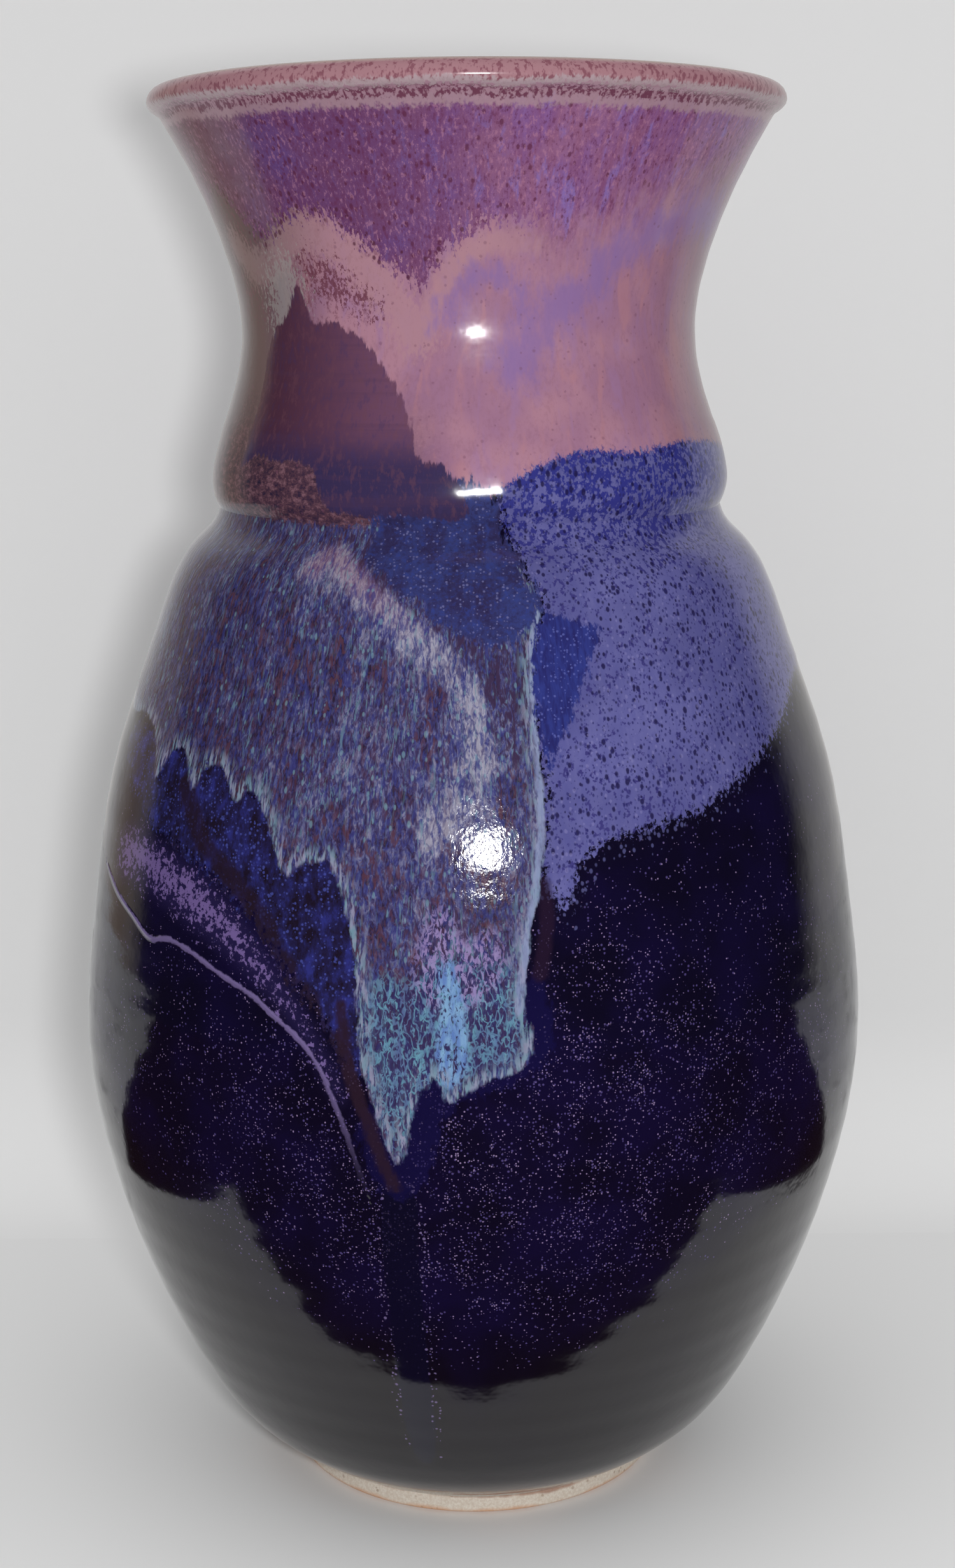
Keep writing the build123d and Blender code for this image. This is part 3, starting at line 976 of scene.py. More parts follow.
class Pours(Surface):
    """The outside of the vase, painted pour over pour from the distances on the coats."""

    def __init__(self, name: str) -> None:
        """Starts the material, with the way that glaze flows and a slow haze."""
        super().__init__(name)
        self.flow = self.field("flow", "Vector")
        self.haze = self.noise(self.place, 0.045, detail=2.0)
        self.run_depth = self.field("rutile") | self.field("rutile_back")

    def edge(
        self, depth: Union[str, Wire], fray: float, grain: float, stretch: float = 1.0, soft: float = 0.3
    ) -> Wire:
        """A pour's frayed mask.

        Args:
            depth: The pour's name, or a depth worked out from it.
            fray: How far the edge wanders, in millimetres.
            grain: The size of the grain that breaks it, in millimetres.
            stretch: How much longer than wide the grain is.
            soft: Half the width of the blend, in millimetres.

        Returns:
            The mask.
        """
        inside = self.field(depth) if isinstance(depth, str) else depth
        return self.call(
            Effect.EDGE, Depth=inside, Place=self.flow, Fray=fray, Grain=grain, Stretch=stretch, Soft=soft
        )

    def streak(self, width: float, length: float, warp: float = 0.5) -> Wire:
        """A pattern of runs, of a width and length in millimetres."""
        return self.call(Effect.STREAKS, Place=self.flow, Width=width, Length=length, Warp=warp)

    def bead_depth(self) -> Wire:
        """How far inside the raised bead a place is, in millimetres."""
        near = self.field("bead").step(-3.4, -2.2)
        return BEAD_REACH - abs(self.field("bead_side")) - (1.0 - near) * FAR_OFF

    def dark_base(self) -> Wire:
        """Cobalt black with floating micro-specks."""
        colour = self.mix(self.haze.step(0.35, 0.65), paint(11, 7, 27), paint(15, 9, 41))
        low = (self.height - abs(self.side) * 0.6).step(74.0, 34.0)
        colour = colour.lay(paint(14, 8, 14), low * 0.9)
        swarm = self.noise(self.place, 0.12).step(0.3, 0.7)
        share = self.field("mist") * (swarm * 0.6 + 0.08)
        colour = colour.lay(paint(80, 68, 120), self.fleck(0.7, share) * 0.75)
        return colour.lay(paint(150, 128, 168), self.fleck(0.5, share * 0.5) * 0.75)

    def long_drip(self, colour: Wire) -> Wire:
        """The navy stripe below the tip, with pale specks along its sides."""
        depth = self.field("long_drip")
        colour = colour.lay(paint(11, 9, 32), self.edge(depth, 0.5, 2.0, 4.0, 0.4) * 0.85)
        beside = depth.step(-2.6, -0.4) * depth.step(0.8, -0.2) * self.height.step(24.0, 60.0)
        return colour.lay(paint(120, 104, 148), self.fleck(0.95, beside * 0.7) * 0.7)

    def lilac_band(self, colour: Wire) -> Wire:
        """The speckled lilac band and its raised bead."""
        depth = self.field("lilac")
        colour = colour.lay(paint(34, 27, 66), depth.step(-2.5, 4.0) * 0.85)
        colour = colour.lay(paint(112, 92, 146), self.edge(depth - 4.6, 9.0, 1.15, 1.3, 1.0) * 0.85)
        bead = self.edge(self.bead_depth(), 0.4, 2.6, 1.0, 0.25)
        return colour.lay(paint(108, 94, 138), bead * (self.height.step(104.0, 142.0) * 0.9))

    def royal(self, colour: Wire) -> Wire:
        """Mottled royal blue beside the run, with umber veins, and the blue fringe at its tip."""
        mottle = self.noise(self.flow, 0.32, 0.16, detail=5.0, rough=0.72)
        blue = self.ramp(
            mottle, (0.38, paint(26, 18, 34)), (0.5, paint(32, 29, 68)), (0.64, paint(42, 44, 112))
        )
        glimmer = self.fleck(0.75, 0.5) | self.fleck(1.1, 0.2)
        blue = blue.lay(paint(70, 78, 156), glimmer * 0.6)
        blue = blue.lay(paint(34, 22, 34), self.edge("umber", 1.4, 4.0, 2.0, 1.0) * 0.8)
        colour = colour.lay(blue, self.edge("royal", 4.0, 1.2, 1.6, 1.0))
        return colour.lay(paint(18, 14, 58), self.edge("fringe", 2.2, 1.5, 2.5, 1.0) * 0.7)

    def rose_neck(self, colour: Wire) -> Wire:
        """The smooth rose of the neck, with pale arches and lavender sweeps, and painted shade towards its
        left and right edges.
        """
        rose = self.mix(self.haze.step(0.35, 0.65), paint(150, 108, 134), paint(166, 121, 138))
        grainy = self.noise(self.place, 0.9, 0.5, rough=0.75)
        rose = rose.lay(paint(134, 92, 112), grainy.step(0.45, 0.7) * 0.35)
        clouds = self.noise(self.flow, 0.16, 0.06, detail=4.0, warp=0.6)
        rose = rose.lay(paint(148, 112, 152), clouds.step(0.5, 0.68) * 0.5)
        rose = rose.lay(paint(172, 120, 128), clouds.step(0.48, 0.32) * 0.5)
        # Painted shade: the rose darkens to brown towards the left edge of the neck.
        painted_shade_left = self.side.step(-28.0, -52.0) * 0.95
        rose = rose.lay(paint(88, 70, 72), painted_shade_left)
        # Painted shade: the rose turns darker and greyer towards the right edge of the neck.
        rose = rose.lay(paint(104, 86, 94), self.side.step(40.0, 62.0) * 0.5)
        dusk = self.side.step(0.0, -24.0) * self.height.step(290.0, 264.0)
        soil = self.ramp(
            self.noise(self.place, 0.5, 0.75, detail=4.0, rough=0.8),
            (0.36, paint(36, 28, 54)),
            (0.5, paint(74, 48, 62)),
            (0.64, paint(118, 84, 96)),
        )
        rose = rose.lay(soil, dusk * 0.95)
        peppered = self.side.step(-2.0, -30.0) * self.height.step(292.0, 306.0)
        pepper = (grainy + peppered * 0.06).step(0.58, 0.66)
        rose = rose.lay(paint(112, 66, 82), peppered * pepper * 0.6)
        arches = self.edge("arches", 4.0, 1.2, 1.5, 2.0) | self.edge("arch_right", 1.4, 1.3, 1.5, 1.8)
        # The arches carry the same painted shade, darker towards the left.
        rose = rose.lay(self.mix(painted_shade_left, paint(168, 126, 136), paint(136, 112, 114)), arches * 0.75)
        sweep = self.edge("swoosh", 5.0, 5.0, 1.6, 4.5) | self.edge("curl", 4.0, 3.5, 2.0, 3.2)
        rose = rose.lay(paint(126, 100, 158), sweep * 0.62)
        rose = rose.lay(paint(98, 48, 64), self.edge(self.field("dust") - 4.5, 9.0, 1.1, 1.2, 0.8) * 0.8)
        rose = rose.lay(paint(150, 146, 144), self.edge(self.field("ash") - 3.5, 8.0, 1.0, 1.6, 0.8) * 0.6)
        rose = rose.lay(paint(112, 70, 92), self.fleck(1.0, 0.1) * 0.4)
        return colour.lay(rose, self.edge("blue_band", 1.7, 1.2, 1.2, 0.7))

    def violet_dip(self, colour: Wire) -> Wire:
        """The violet dip from the lip, all red-plum specks and blue streaks, with painted shade at its left
        edge.
        """
        violet = self.mix(self.streak(2.6, 12.0, 0.8), paint(124, 74, 112), paint(126, 86, 140))
        cloud = self.noise(self.place, 0.1, 0.07)
        violet = violet.lay(paint(142, 94, 124), cloud.step(0.42, 0.66) * 0.6)
        blues = self.noise(self.flow, 0.3, 0.09, rough=0.65, warp=0.5)
        violet = violet.lay(paint(126, 104, 170), blues.step(0.54, 0.7) * 0.7)
        left = self.side.step(22.0, -30.0)
        violet = violet.lay(paint(92, 52, 92), left * 0.55).lay(paint(84, 46, 86), left * 0.35)
        violet = violet.lay(paint(90, 70, 134), left * self.haze.step(0.5, 0.68) * 0.5)
        # Painted shade: the violet turns browner and darker towards the left edge.
        violet = violet.lay(paint(104, 66, 70), self.side.step(-40.0, -62.0) * 0.6)
        violet = violet.lay(paint(84, 32, 56), self.fleck(1.25, left * 0.3 + 0.22, 1.8) * 0.7)
        grit = self.noise(self.flow, 0.95, 0.6, rough=0.75)
        violet = violet.lay(paint(96, 44, 76), grit.step(0.53, 0.64) * 0.6)
        violet = violet.lay(paint(168, 116, 142), grit.step(0.46, 0.36) * 0.5)
        depth = self.field("violet")
        toward = self.side.step(4.0, 26.0)
        rough_edge = self.edge(depth, 6.0, 1.15, 1.7, 0.8) * (1.0 - toward)
        soft_edge = self.edge(depth + 6.0, 7.0, 5.0, 2.0, 10.0) * toward
        colour = colour.lay(violet, rough_edge + soft_edge)
        seam = depth.step(-5.0, 0.0) * depth.step(7.0, 0.0)
        return colour.lay(paint(80, 36, 56), self.fleck(1.35, seam * left * 0.62, 1.3) * 0.8)

    def blue_and_lavender(self, colour: Wire) -> Wire:
        """The lavender pour, thick with navy specks, and the blue that it turns to at the collar."""
        grainy = self.noise(self.place, 0.75, 0.6, detail=2.0, rough=0.7)
        collar = self.height.step(236.0, 262.0)
        smear = self.noise(self.flow, 0.06, 0.16, detail=2.0)
        cover = (grainy + (collar * 0.13 + (smear - 0.5) * 0.2)).step(0.56, 0.66)
        lavender = self.mix(self.haze.step(0.4, 0.65), paint(86, 85, 137), paint(97, 96, 150))
        lavender = lavender.lay(paint(72, 72, 134), self.streak(2.2, 7.0, 0.8) * 0.4)
        body = lavender.lay(self.mix(collar, paint(58, 54, 112), paint(46, 48, 122)), cover)
        body = body.lay(paint(30, 25, 66), self.fleck(1.35, 0.62, 1.6) * 0.9)
        body = body.lay(paint(40, 38, 92), self.fleck(0.85, 0.55, 1.4) * 0.75)
        body = body.lay(paint(124, 120, 168), self.fleck(1.0, 0.3, 1.3) * 0.4)
        below = self.field("lavender").step(-7.0, -0.5) * self.height.step(226.0, 206.0)
        colour = colour.lay(paint(13, 9, 26), below * 0.6)
        colour = colour.lay(paint(78, 78, 122), self.fleck(1.1, below * 0.8, 1.4) * 0.7)
        return colour.lay(body, self.edge("lavender", 3.0, 1.0, 1.5, 0.6))

    def rutile_run(self, colour: Wire) -> Wire:
        """The long streaked run: hare's-fur blues and browns, celadon crests, a turquoise tip."""
        depth = self.run_depth
        coarse = self.streak(3.4, 11.0, 1.6)
        fine = self.streak(0.7, 2.0, 0.9)
        hue = self.streak(1.1, 3.6, 1.0)
        along = self.field("crest")
        crest = along.step(-7.5, 1.6) * 0.5 + self.edge(along + 1.5, 2.6, 1.3, 5.0, 1.6) * 0.5
        skirt = self.edge("skirt", 1.5, 1.6, 3.0, 1.4)
        patch = self.noise(self.flow, 0.11, 0.05, warp=0.6)
        front = self.side.step(-70.0, -8.0)
        value = coarse * 0.28 + fine * 0.48 + (patch - 0.58) * 0.6 + front * 0.12
        value = value + crest * (1.0 - skirt) * (hue * 0.22 + 0.22)
        run = self.ramp(
            value,
            (0.12, paint(40, 30, 50)),
            (0.3, paint(52, 44, 78)),
            (0.46, paint(62, 58, 98)),
            (0.62, paint(84, 84, 122)),
            (0.8, paint(118, 116, 142)),
            (0.98, paint(148, 146, 164)),
        )
        run = run.lay(paint(138, 92, 112), along.step(-3.0, 1.5) * self.height.step(226.0, 246.0) * 0.4)
        brown = hue.step(0.52, 0.9) * (1.0 - crest * 0.6)
        run = run.lay(paint(80, 50, 64), brown * patch.step(0.56, 0.38, 0.35, 0.85))
        run = run.lay(paint(50, 54, 118), hue.step(0.42, 0.1) * 0.55)
        hairs = self.streak(0.75, 5.5, 1.2).step(0.7, 0.95)
        run = run.lay(paint(98, 128, 144), hairs * patch.step(0.42, 0.6, 0.1, 0.6))
        run = run.lay(paint(112, 146, 160), self.fleck(1.0, front * 0.12 + 0.08, 2.4) * 0.5)
        run = run.lay(paint(56, 42, 70), skirt * hue.step(0.25, 0.9))
        run = self.lace_tip(run, coarse, fine)
        blotch = self.field("blotch").step(-2.0, 2.5)
        run = run.lay(paint(142, 122, 170), blotch * fine.step(0.4, 0.75) * 0.75)
        pool = self.edge("turquoise", 0.9, 1.2, 3.5, 0.9) * fine.step(0.12, 0.5)
        run = run.lay(self.mix(coarse, paint(84, 112, 170), paint(118, 154, 188)), pool)
        hem = depth.step(-0.8, 0.6) * depth.step(5.0, 0.8) * self.streak(0.8, 5.0, 0.4).step(0.3, 0.8)
        run = run.lay(self.mix(coarse, paint(104, 134, 150), paint(138, 134, 160)), hem)
        run = run.lay(paint(128, 138, 172), self.edge("rim_light", 0.6, 1.4, 3.0, 0.7) * 0.8)
        colour = colour.lay(paint(40, 25, 38), self.edge("halo", 0.7, 2.0, 2.0, 0.8) * 0.85)
        colour = colour.lay(paint(34, 20, 40), self.edge("side_umber", 0.5, 2.0, 2.0, 0.8) * 0.8)
        return colour.lay(run, self.edge(depth, 1.0, 1.6, 3.5, 0.45))

    def lace_tip(self, run: Wire, coarse: Wire, fine: Wire) -> Wire:
        """The turquoise lace that the run breaks into at its tip."""
        web = self.add("ShaderNodeTexVoronoi", feature="DISTANCE_TO_EDGE", voronoi_dimensions="3D")
        web.inputs["Scale"].default_value = 1.0
        bend = self.add("ShaderNodeVectorMath", operation="ADD")
        self.feed(bend.inputs[0], self.flow.stretch(0.46, 0.16))
        self.feed(bend.inputs[1], self.noise(self.flow, 0.4, 0.2, detail=2.0, tinted=True).stretch(2.2, 2.2))
        self.feed(web.inputs["Vector"], Wire(self, bend.outputs[0]))
        lace = Wire(self, web.outputs["Distance"]).step(0.1, 0.02)
        tip = self.field("tip").step(-2.0, 4.0)
        run = run.lay(paint(44, 38, 78), tip * 0.65)
        lit = tip * (lace * 0.85 | fine.step(0.6, 0.95))
        return run.lay(self.mix(coarse, paint(92, 112, 156), paint(104, 166, 182)), lit * 0.7)

    def navy_apron(self, colour: Wire) -> Wire:
        """The smooth navy apron under the collar, and the navy drip in the lavender."""
        cloud = self.noise(self.flow, 0.16, 0.1)
        navy = self.mix(cloud.step(0.35, 0.65), paint(46, 42, 80), paint(50, 56, 108))
        mottle = self.noise(self.place, 0.8, rough=0.75)
        navy = navy.lay(paint(46, 62, 134), mottle.step(0.48, 0.68) * 0.5)
        navy = navy.lay(paint(38, 32, 66), mottle.step(0.5, 0.34) * 0.5)
        navy = navy.lay(paint(104, 104, 150), self.fleck(0.75, 0.4) * 0.65)
        colour = colour.lay(navy, self.edge("navy_apron", 3.2, 1.6, 3.2, 0.8))
        core = self.mix(self.streak(1.2, 5.0), paint(36, 36, 92), paint(46, 54, 122))
        core = core.lay(paint(84, 90, 156), self.fleck(0.75, 0.5) * 0.75)
        return colour.lay(core, self.edge("navy_drip", 1.8, 1.1, 2.6, 0.6))

    def plum(self, colour: Wire) -> Wire:
        """The plum pour over the neck, ringed by the thrower's fingers, with painted shade towards its left.
        """
        # Painted shade: the plum darkens towards the left edge of the neck.
        plum = self.mix(self.side.step(-50.0, -12.0), paint(74, 42, 60), paint(106, 70, 96))
        plum = plum.lay(paint(50, 42, 78), self.height.step(278.0, 266.0) * 0.95)
        rings = self.noise(self.place, 0.02, 0.55)
        plum = plum.lay(paint(78, 52, 76), rings.step(0.45, 0.7) * 0.3)
        flaw = self.noise(self.flow, 0.5, 0.3, rough=0.7)
        plum = plum.lay(paint(104, 66, 78), flaw.step(0.5, 0.66) * 0.35)
        plum = plum.lay(paint(60, 50, 92), flaw.step(0.46, 0.34) * 0.3)
        return colour.lay(plum, self.edge(self.field("plum") | self.field("plum_back"), 1.1, 1.8, 3.5, 0.4))

    def rim(self, colour: Wire) -> Wire:
        """The broken lines where glaze thins over the lip."""
        wobble = self.noise(self.place, 0.05, 0.0, detail=2.0)
        grit = self.noise(self.place, 0.9, 0.45, detail=2.0, rough=0.7)
        height = self.height + (wobble - 0.5) * 2.4 + (grit - 0.5) * 4.0
        lip = self.mix(grit.step(0.5, 0.62), paint(160, 118, 126), paint(130, 82, 94))
        lip = lip.lay(paint(148, 112, 100), self.height.step(354.9, 355.9))
        dark = self.mix(grit.step(0.42, 0.56), paint(152, 118, 132), paint(104, 58, 78))
        colour = colour.lay(paint(160, 130, 140), height.step(345.4, 346.8) * 0.8)
        colour = colour.lay(dark, height.step(347.6, 348.4))
        colour = colour.lay(paint(170, 152, 156), height.step(349.8, 350.5) * 0.75)
        return colour.lay(lip, height.step(351.1, 351.9))

    def unevenness(self) -> Wire:
        """How far the glaze's own skin stands up, in millimetres."""
        peel = self.noise(self.place, 0.22, detail=2.0)
        pits = self.noise(self.flow, 0.8, 0.5) * self.run_depth.step(-0.5, 1.5)
        return peel * 0.05 + pits * 0.09 + self.bead_depth().step(-0.5, 0.8) * 0.3


@dataclass(frozen=True)
class PouredGlaze:
    """The glossy outside: every pour over the dark base, told by the fields on the coats."""

    name: str = "poured_glaze"
    gloss: float = 0.1
    neck_gloss: float = 0.17
    ior: float = 1.52

    def build(self) -> bpy.types.Material:
        """Makes the glaze's material, pour after pour."""
        pours = Pours(self.name)
        colour = pours.dark_base()
        for layer in (
            pours.long_drip,
            pours.lilac_band,
            pours.royal,
            pours.blue_and_lavender,
            pours.rutile_run,
            pours.rose_neck,
            pours.violet_dip,
            pours.navy_apron,
            pours.plum,
            pours.rim,
        ):
            colour = layer(colour)
        pours.dress(colour, pours.height.step(250.0, 262.0, self.gloss, self.neck_gloss))
        pours.shader.inputs["IOR"].default_value = self.ior
        pours.bump(pours.unevenness(), 1.0)
        return pours.material


@dataclass(frozen=True)
class LinerGlaze:
    """The plainer glaze poured inside."""

    name: str = "liner_glaze"
    gloss: float = 0.1

    def build(self) -> bpy.types.Material:
        """Makes the liner's material: rose-violet at the dip line, falling to dark navy."""
        inside = Surface(self.name)
        runs = inside.noise(inside.place, 0.3, 0.04, detail=4.0, rough=0.65)
        level = inside.height + (runs - 0.5) * 46.0
        colour = inside.mix(level.step(330.0, 300.0), paint(92, 62, 104), paint(40, 34, 78))
        colour = colour.lay(paint(16, 12, 34), level.step(300.0, 250.0))
        colour = colour.lay(paint(98, 88, 138), inside.fleck(1.4, 0.22) * 0.6)
        inside.dress(colour, self.gloss)
        inside.bump(runs, 0.1)
        return inside.material


@dataclass(frozen=True)
class BareClay:
    """Fired stoneware with no glaze: cream, grogged, flashed orange where the flame caught it."""

    name: str = "bare_clay"
    flash_height: float = 1.6

    def build(self) -> bpy.types.Material:
        """Makes the clay's material."""
        clay = Surface(self.name)
        grain = clay.noise(clay.place, 1.4, detail=4.0, rough=0.7)
        level = clay.height + (clay.noise(clay.place, 0.06) - 0.5) * 4.0
        colour = clay.mix(grain.step(0.35, 0.7), paint(214, 200, 184), paint(232, 224, 212))
        colour = colour.lay(paint(214, 160, 118), level.step(self.flash_height, 0.0) * 0.8)
        glaze_line = level.step(FOOT_HEIGHT - 1.6, FOOT_HEIGHT - 0.6)
        colour = colour.lay(paint(150, 96, 70), glaze_line * 0.7)
        colour = colour.lay(paint(150, 118, 92), clay.fleck(1.3, 0.12) * 0.5)
        clay.dress(colour, grain.step(0.3, 0.7, 0.72, 0.9))
        clay.bump(grain, 0.12, 0.6)
        return clay.material


# --- The other pieces --------------------------------------------------------------------


@dataclass(frozen=True)
class Liner:
    """The coat inside, from the dip line in the mouth down over the floor."""

    name: str = "liner_coat"
    spacing: float = 2.2
    steps: int = 160
    backing_stride: int = 3

    def build(self, finish: bpy.types.Material) -> bpy.types.Object:
        """Turns the liner, and hangs it on the vase."""
        face = smooth_points(INSIDE, self.spacing)
        face[-1] = (0.0, face[-1][1])
        back = offset_line(face, 0.1 - GLAZE_DEPTH)[:: self.backing_stride]
        foot = [(0.0, face[-1][1] - GLAZE_DEPTH)]
        mesh = turn_mesh(self.name, np.vstack([face[::-1], back[:-1], foot]), False, self.steps)
        return hang(mesh, finish, "liner_glaze", "liner_glaze")


@dataclass(frozen=True)
class Foot:
    """The turned foot ring, softened where the sponge passed."""

    name: str = "turned_foot"
    ring_width: float = 8.5
    soft: float = 1.1
    steps: int = 180

    def section(self) -> np.ndarray:
        """The ring's section as (radius, height), with rounded lower edges."""
        inner = FOOT_RADIUS - self.ring_width
        turn = np.linspace(0.0, math.pi / 2, 6)
        reach, rise = self.soft * np.sin(turn), self.soft * np.cos(turn)
        low_in = np.column_stack([inner + self.soft - rise, self.soft - reach])
        low_out = np.column_stack([FOOT_RADIUS - self.soft + reach, self.soft - rise])
        return np.vstack([[(inner, FOOT_HEIGHT)], low_in, low_out, [(FOOT_RADIUS, FOOT_HEIGHT)]])

    def build(self, finish: bpy.types.Material) -> bpy.types.Object:
        """Turns the ring, and hangs it on the vase."""
        mesh = turn_mesh(self.name, self.section(), True, self.steps)
        return hang(mesh, finish, "bare_stoneware", "foot_ring")


@dataclass(frozen=True)
class Vase:
    """All the pieces of the vase."""

    relief: Relief = Relief()
    body_coat: Coat = Coat(
        "body_glaze_coat", ("base_glaze", "lavender_pour", "rutile_pour"), "dark_glaze", 1.6, False
    )
    neck_coat: Coat = Coat("neck_glaze_coat", ("neck_glaze",), "plum_glaze", 1.1, True)
    liner: Liner = Liner()
    foot: Foot = Foot()
    kept: tuple[str, ...] = ("body_section", "neck_section", "joint_slip")

    def build(self) -> None:
        """Makes every piece, and gives the clay that stays its finish."""
        glaze = PouredGlaze().build()
        clay = BareClay().build()
        self.body_coat.build(self.relief, glaze)
        self.neck_coat.build(self.relief, glaze)
        self.liner.build(LinerGlaze().build())
        self.foot.build(clay)
        for name in self.kept:
            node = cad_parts[name]
            node.data.materials.clear()
            node.data.materials.append(clay)
            LOG.info("%s: kept from the frame in bare clay", name)


# --- The studio --------------------------------------------------------------------------


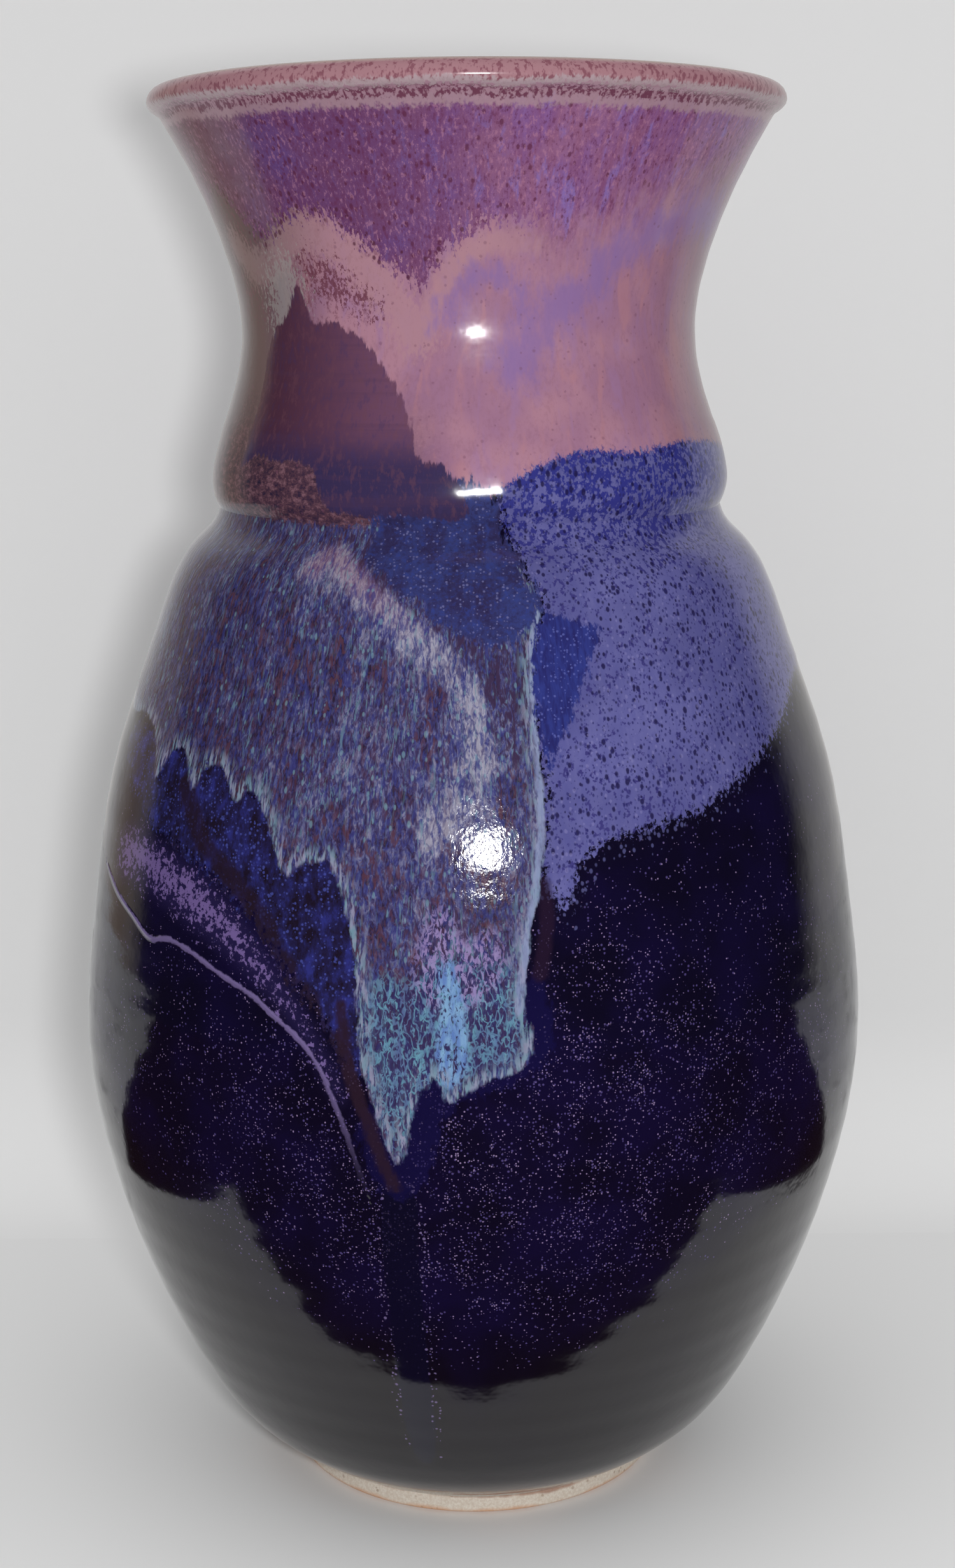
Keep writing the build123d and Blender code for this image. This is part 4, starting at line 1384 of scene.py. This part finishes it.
@dataclass(frozen=True)
class Studio:
    """A pale sweep of floor, a soft lamp beside the lens and a pale room behind.

    Args:
        distance: How far the lens stands in front of the axis, in metres.
        lens_height: How high it stands above the foot.
        side_step: How far it stands to the right.
        pitch: Degrees that it looks down.
        roll: Degrees that it leans.
        lens: Focal length on a 36 mm frame, long side.
        floor_radius: How far the floor reaches.
        sheet_front: How far the pale sheet reaches in front, in millimetres.
        sheet_side: How far it reaches to each side, in millimetres.
        back_start: How far behind the axis the sheet begins to rise, in metres.
        back_bend: The radius of its bend.
        back_height: How high it stands.
        back_reach: How far it reaches to each side.
    """

    distance: float = 0.5868
    lens_height: float = 0.3032
    side_step: float = 0.00148
    pitch: float = 11.75
    roll: float = -0.40
    lens: float = 52.6
    floor_radius: float = 0.9
    sheet_front: float = 98.0
    sheet_side: float = 200.0
    back_start: float = 0.13
    back_bend: float = 0.06
    back_height: float = 1.4
    back_reach: float = 1.5

    def build(self) -> None:
        """Sets up the camera, lamps, room, floor and backdrop."""
        self.camera()
        key_place = Vector((0.038, -self.distance - 0.02, self.lens_height + 0.004))
        self.lamp("key_lamp", "DISK", 0.052, 1.7, key_place, Vector((0.0, 0.0, 0.19)))
        top_place = Vector((0.0, -0.5, 2.2))
        top = self.lamp("top_lamp", "SQUARE", 3.0, 23.0, top_place, Vector((0.0, -0.5, 0.0)))
        top.visible_glossy = False
        self.room()
        self.floor()
        self.backdrop()

    def camera(self) -> None:
        """Places the camera at the viewing angle."""
        data = bpy.data.cameras.new("camera")
        data.lens = self.lens
        data.sensor_width = 36.0
        data.clip_start = 0.01
        camera = bpy.data.objects.new("camera", data)
        place = Matrix.Translation((self.side_step, -self.distance, self.lens_height))
        tilt = Matrix.Rotation(math.radians(90.0 - self.pitch), 4, "X")
        lean = Matrix.Rotation(math.radians(self.roll), 4, "Z")
        camera.matrix_world = place @ tilt @ lean
        bpy.context.scene.collection.objects.link(camera)
        bpy.context.scene.camera = camera

    def lamp(
        self, name: str, shape: str, size: float, energy: float, place: Vector, target: Vector
    ) -> bpy.types.Object:
        """Hangs a lamp.

        Args:
            name: The lamp's name.
            shape: The outline of its pane.
            size: How wide the pane is, in metres.
            energy: Its strength in watts.
            place: Where it hangs.
            target: What it points at.

        Returns:
            The lamp.
        """
        data = bpy.data.lights.new(name, "AREA")
        data.shape = shape
        data.size = size
        data.energy = energy
        lamp = bpy.data.objects.new(name, data)
        turn = (target - place).to_track_quat("-Z", "Y").to_matrix().to_4x4()
        lamp.matrix_world = Matrix.Translation(place) @ turn
        bpy.context.scene.collection.objects.link(lamp)
        return lamp

    def room(self) -> None:
        """The pale room: even to the eye, dark in front where the glaze would mirror it."""
        world = bpy.data.worlds.new("room")
        bpy.context.scene.world = world
        world.use_nodes = True
        graph = Graph(world.node_tree)
        path = graph.add("ShaderNodeLightPath")
        facing = Wire(graph, graph.add("ShaderNodeTexCoord").outputs["Generated"])
        sideways, backwards, _ = facing.parts()
        behind = backwards.step(0.34, 0.62)
        mirrored = graph.mix(behind, (0.012, 0.011, 0.012, 1.0), (0.62, 0.61, 0.6, 1.0))
        mirrored = mirrored.lay((0.36, 0.28, 0.21, 1.0), sideways.step(-0.45, -0.8) * behind)
        light = graph.mix(Wire(graph, path.outputs["Is Glossy Ray"]), (0.4, 0.4, 0.4, 1.0), mirrored)
        light = light.lay((0.66, 0.66, 0.665, 1.0), Wire(graph, path.outputs["Is Camera Ray"]))
        back = world.node_tree.nodes["Background"]
        graph.feed(back.inputs["Color"], light)
        graph.feed(world.node_tree.nodes["World Output"].inputs["Surface"], Wire(graph, back.outputs[0]))

    def floor(self) -> None:
        """A round pale floor whose far front is dark only in the glaze's mirror."""
        shape = bmesh.new()
        bmesh.ops.create_circle(shape, cap_ends=True, segments=128, radius=self.floor_radius)
        self.set_out("floor", shape, self.floor_finish())

    def backdrop(self) -> None:
        """The sheet's upright back: it catches the vase's shadow and lights and mirrors nothing."""
        turn = np.linspace(0.0, math.pi / 2, 13)
        along = self.back_start + self.back_bend * np.sin(turn)
        line = np.column_stack([along, self.back_bend * (1.0 - np.cos(turn))])
        line = np.vstack([line, [(self.back_start + self.back_bend, self.back_height)]]) + (0.0, 0.0004)
        shape = bmesh.new()
        left = [shape.verts.new((-self.back_reach, along, up)) for along, up in line]
        right = [shape.verts.new((self.back_reach, along, up)) for along, up in line]
        for low in range(len(line) - 1):
            face = shape.faces.new((left[low], right[low], right[low + 1], left[low + 1]))
            face.smooth = True
        backdrop = self.set_out("backdrop", shape, self.backdrop_finish())
        backdrop.visible_glossy = False
        backdrop.visible_diffuse = False
        backdrop.visible_shadow = False

    def set_out(self, name: str, shape: bmesh.types.BMesh, finish: bpy.types.Material) -> bpy.types.Object:
        """Turns a shape into a piece of the stage, with its finish."""
        mesh = bpy.data.meshes.new(name)
        shape.to_mesh(mesh)
        shape.free()
        mesh.materials.append(finish)
        piece = bpy.data.objects.new(name, mesh)
        bpy.context.scene.collection.objects.link(piece)
        return piece

    def floor_finish(self) -> bpy.types.Material:
        """The pale sheet, with the dark surroundings past its edge for mirrored light."""
        sheet = Surface("pale_sheet")
        sheet.dress(self.sheet_colour(), 0.9)
        wander = (sheet.noise(sheet.place, 0.016) - 0.5) * 30.0
        front = sheet.behind * -1.0 - self.sheet_front
        beside = (abs(sheet.side) - self.sheet_side) * sheet.behind.step(120.0, 40.0)
        outside = ((front | (beside - wander * 0.7)) + wander).step(0.0, 4.0)
        dark = sheet.add("ShaderNodeEmission")
        dark.inputs["Color"].default_value = (0.02, 0.008, 0.009, 1.0)
        path = sheet.add("ShaderNodeLightPath")
        sheet.blend(outside * Wire(sheet, path.outputs["Is Glossy Ray"]), dark)
        return sheet.material

    def backdrop_finish(self) -> bpy.types.Material:
        """The pale back, clear when looked at from behind."""
        back = Surface("pale_back")
        back.dress(self.sheet_colour(), 0.9)
        reverse = Wire(back, back.add("ShaderNodeNewGeometry").outputs["Backfacing"])
        back.blend(reverse, back.add("ShaderNodeBsdfTransparent"))
        return back.material

    def sheet_colour(self) -> Colour:
        """The sheet's pale grey."""
        return (0.88, 0.88, 0.88, 1.0)


def main() -> None:
    """Builds the studio and the vase."""
    logging.basicConfig(level=logging.INFO, format="%(message)s")
    bpy.context.scene.view_settings.view_transform = "Standard"
    Studio().build()
    Vase().build()


if __name__ == "__main__":
    main()
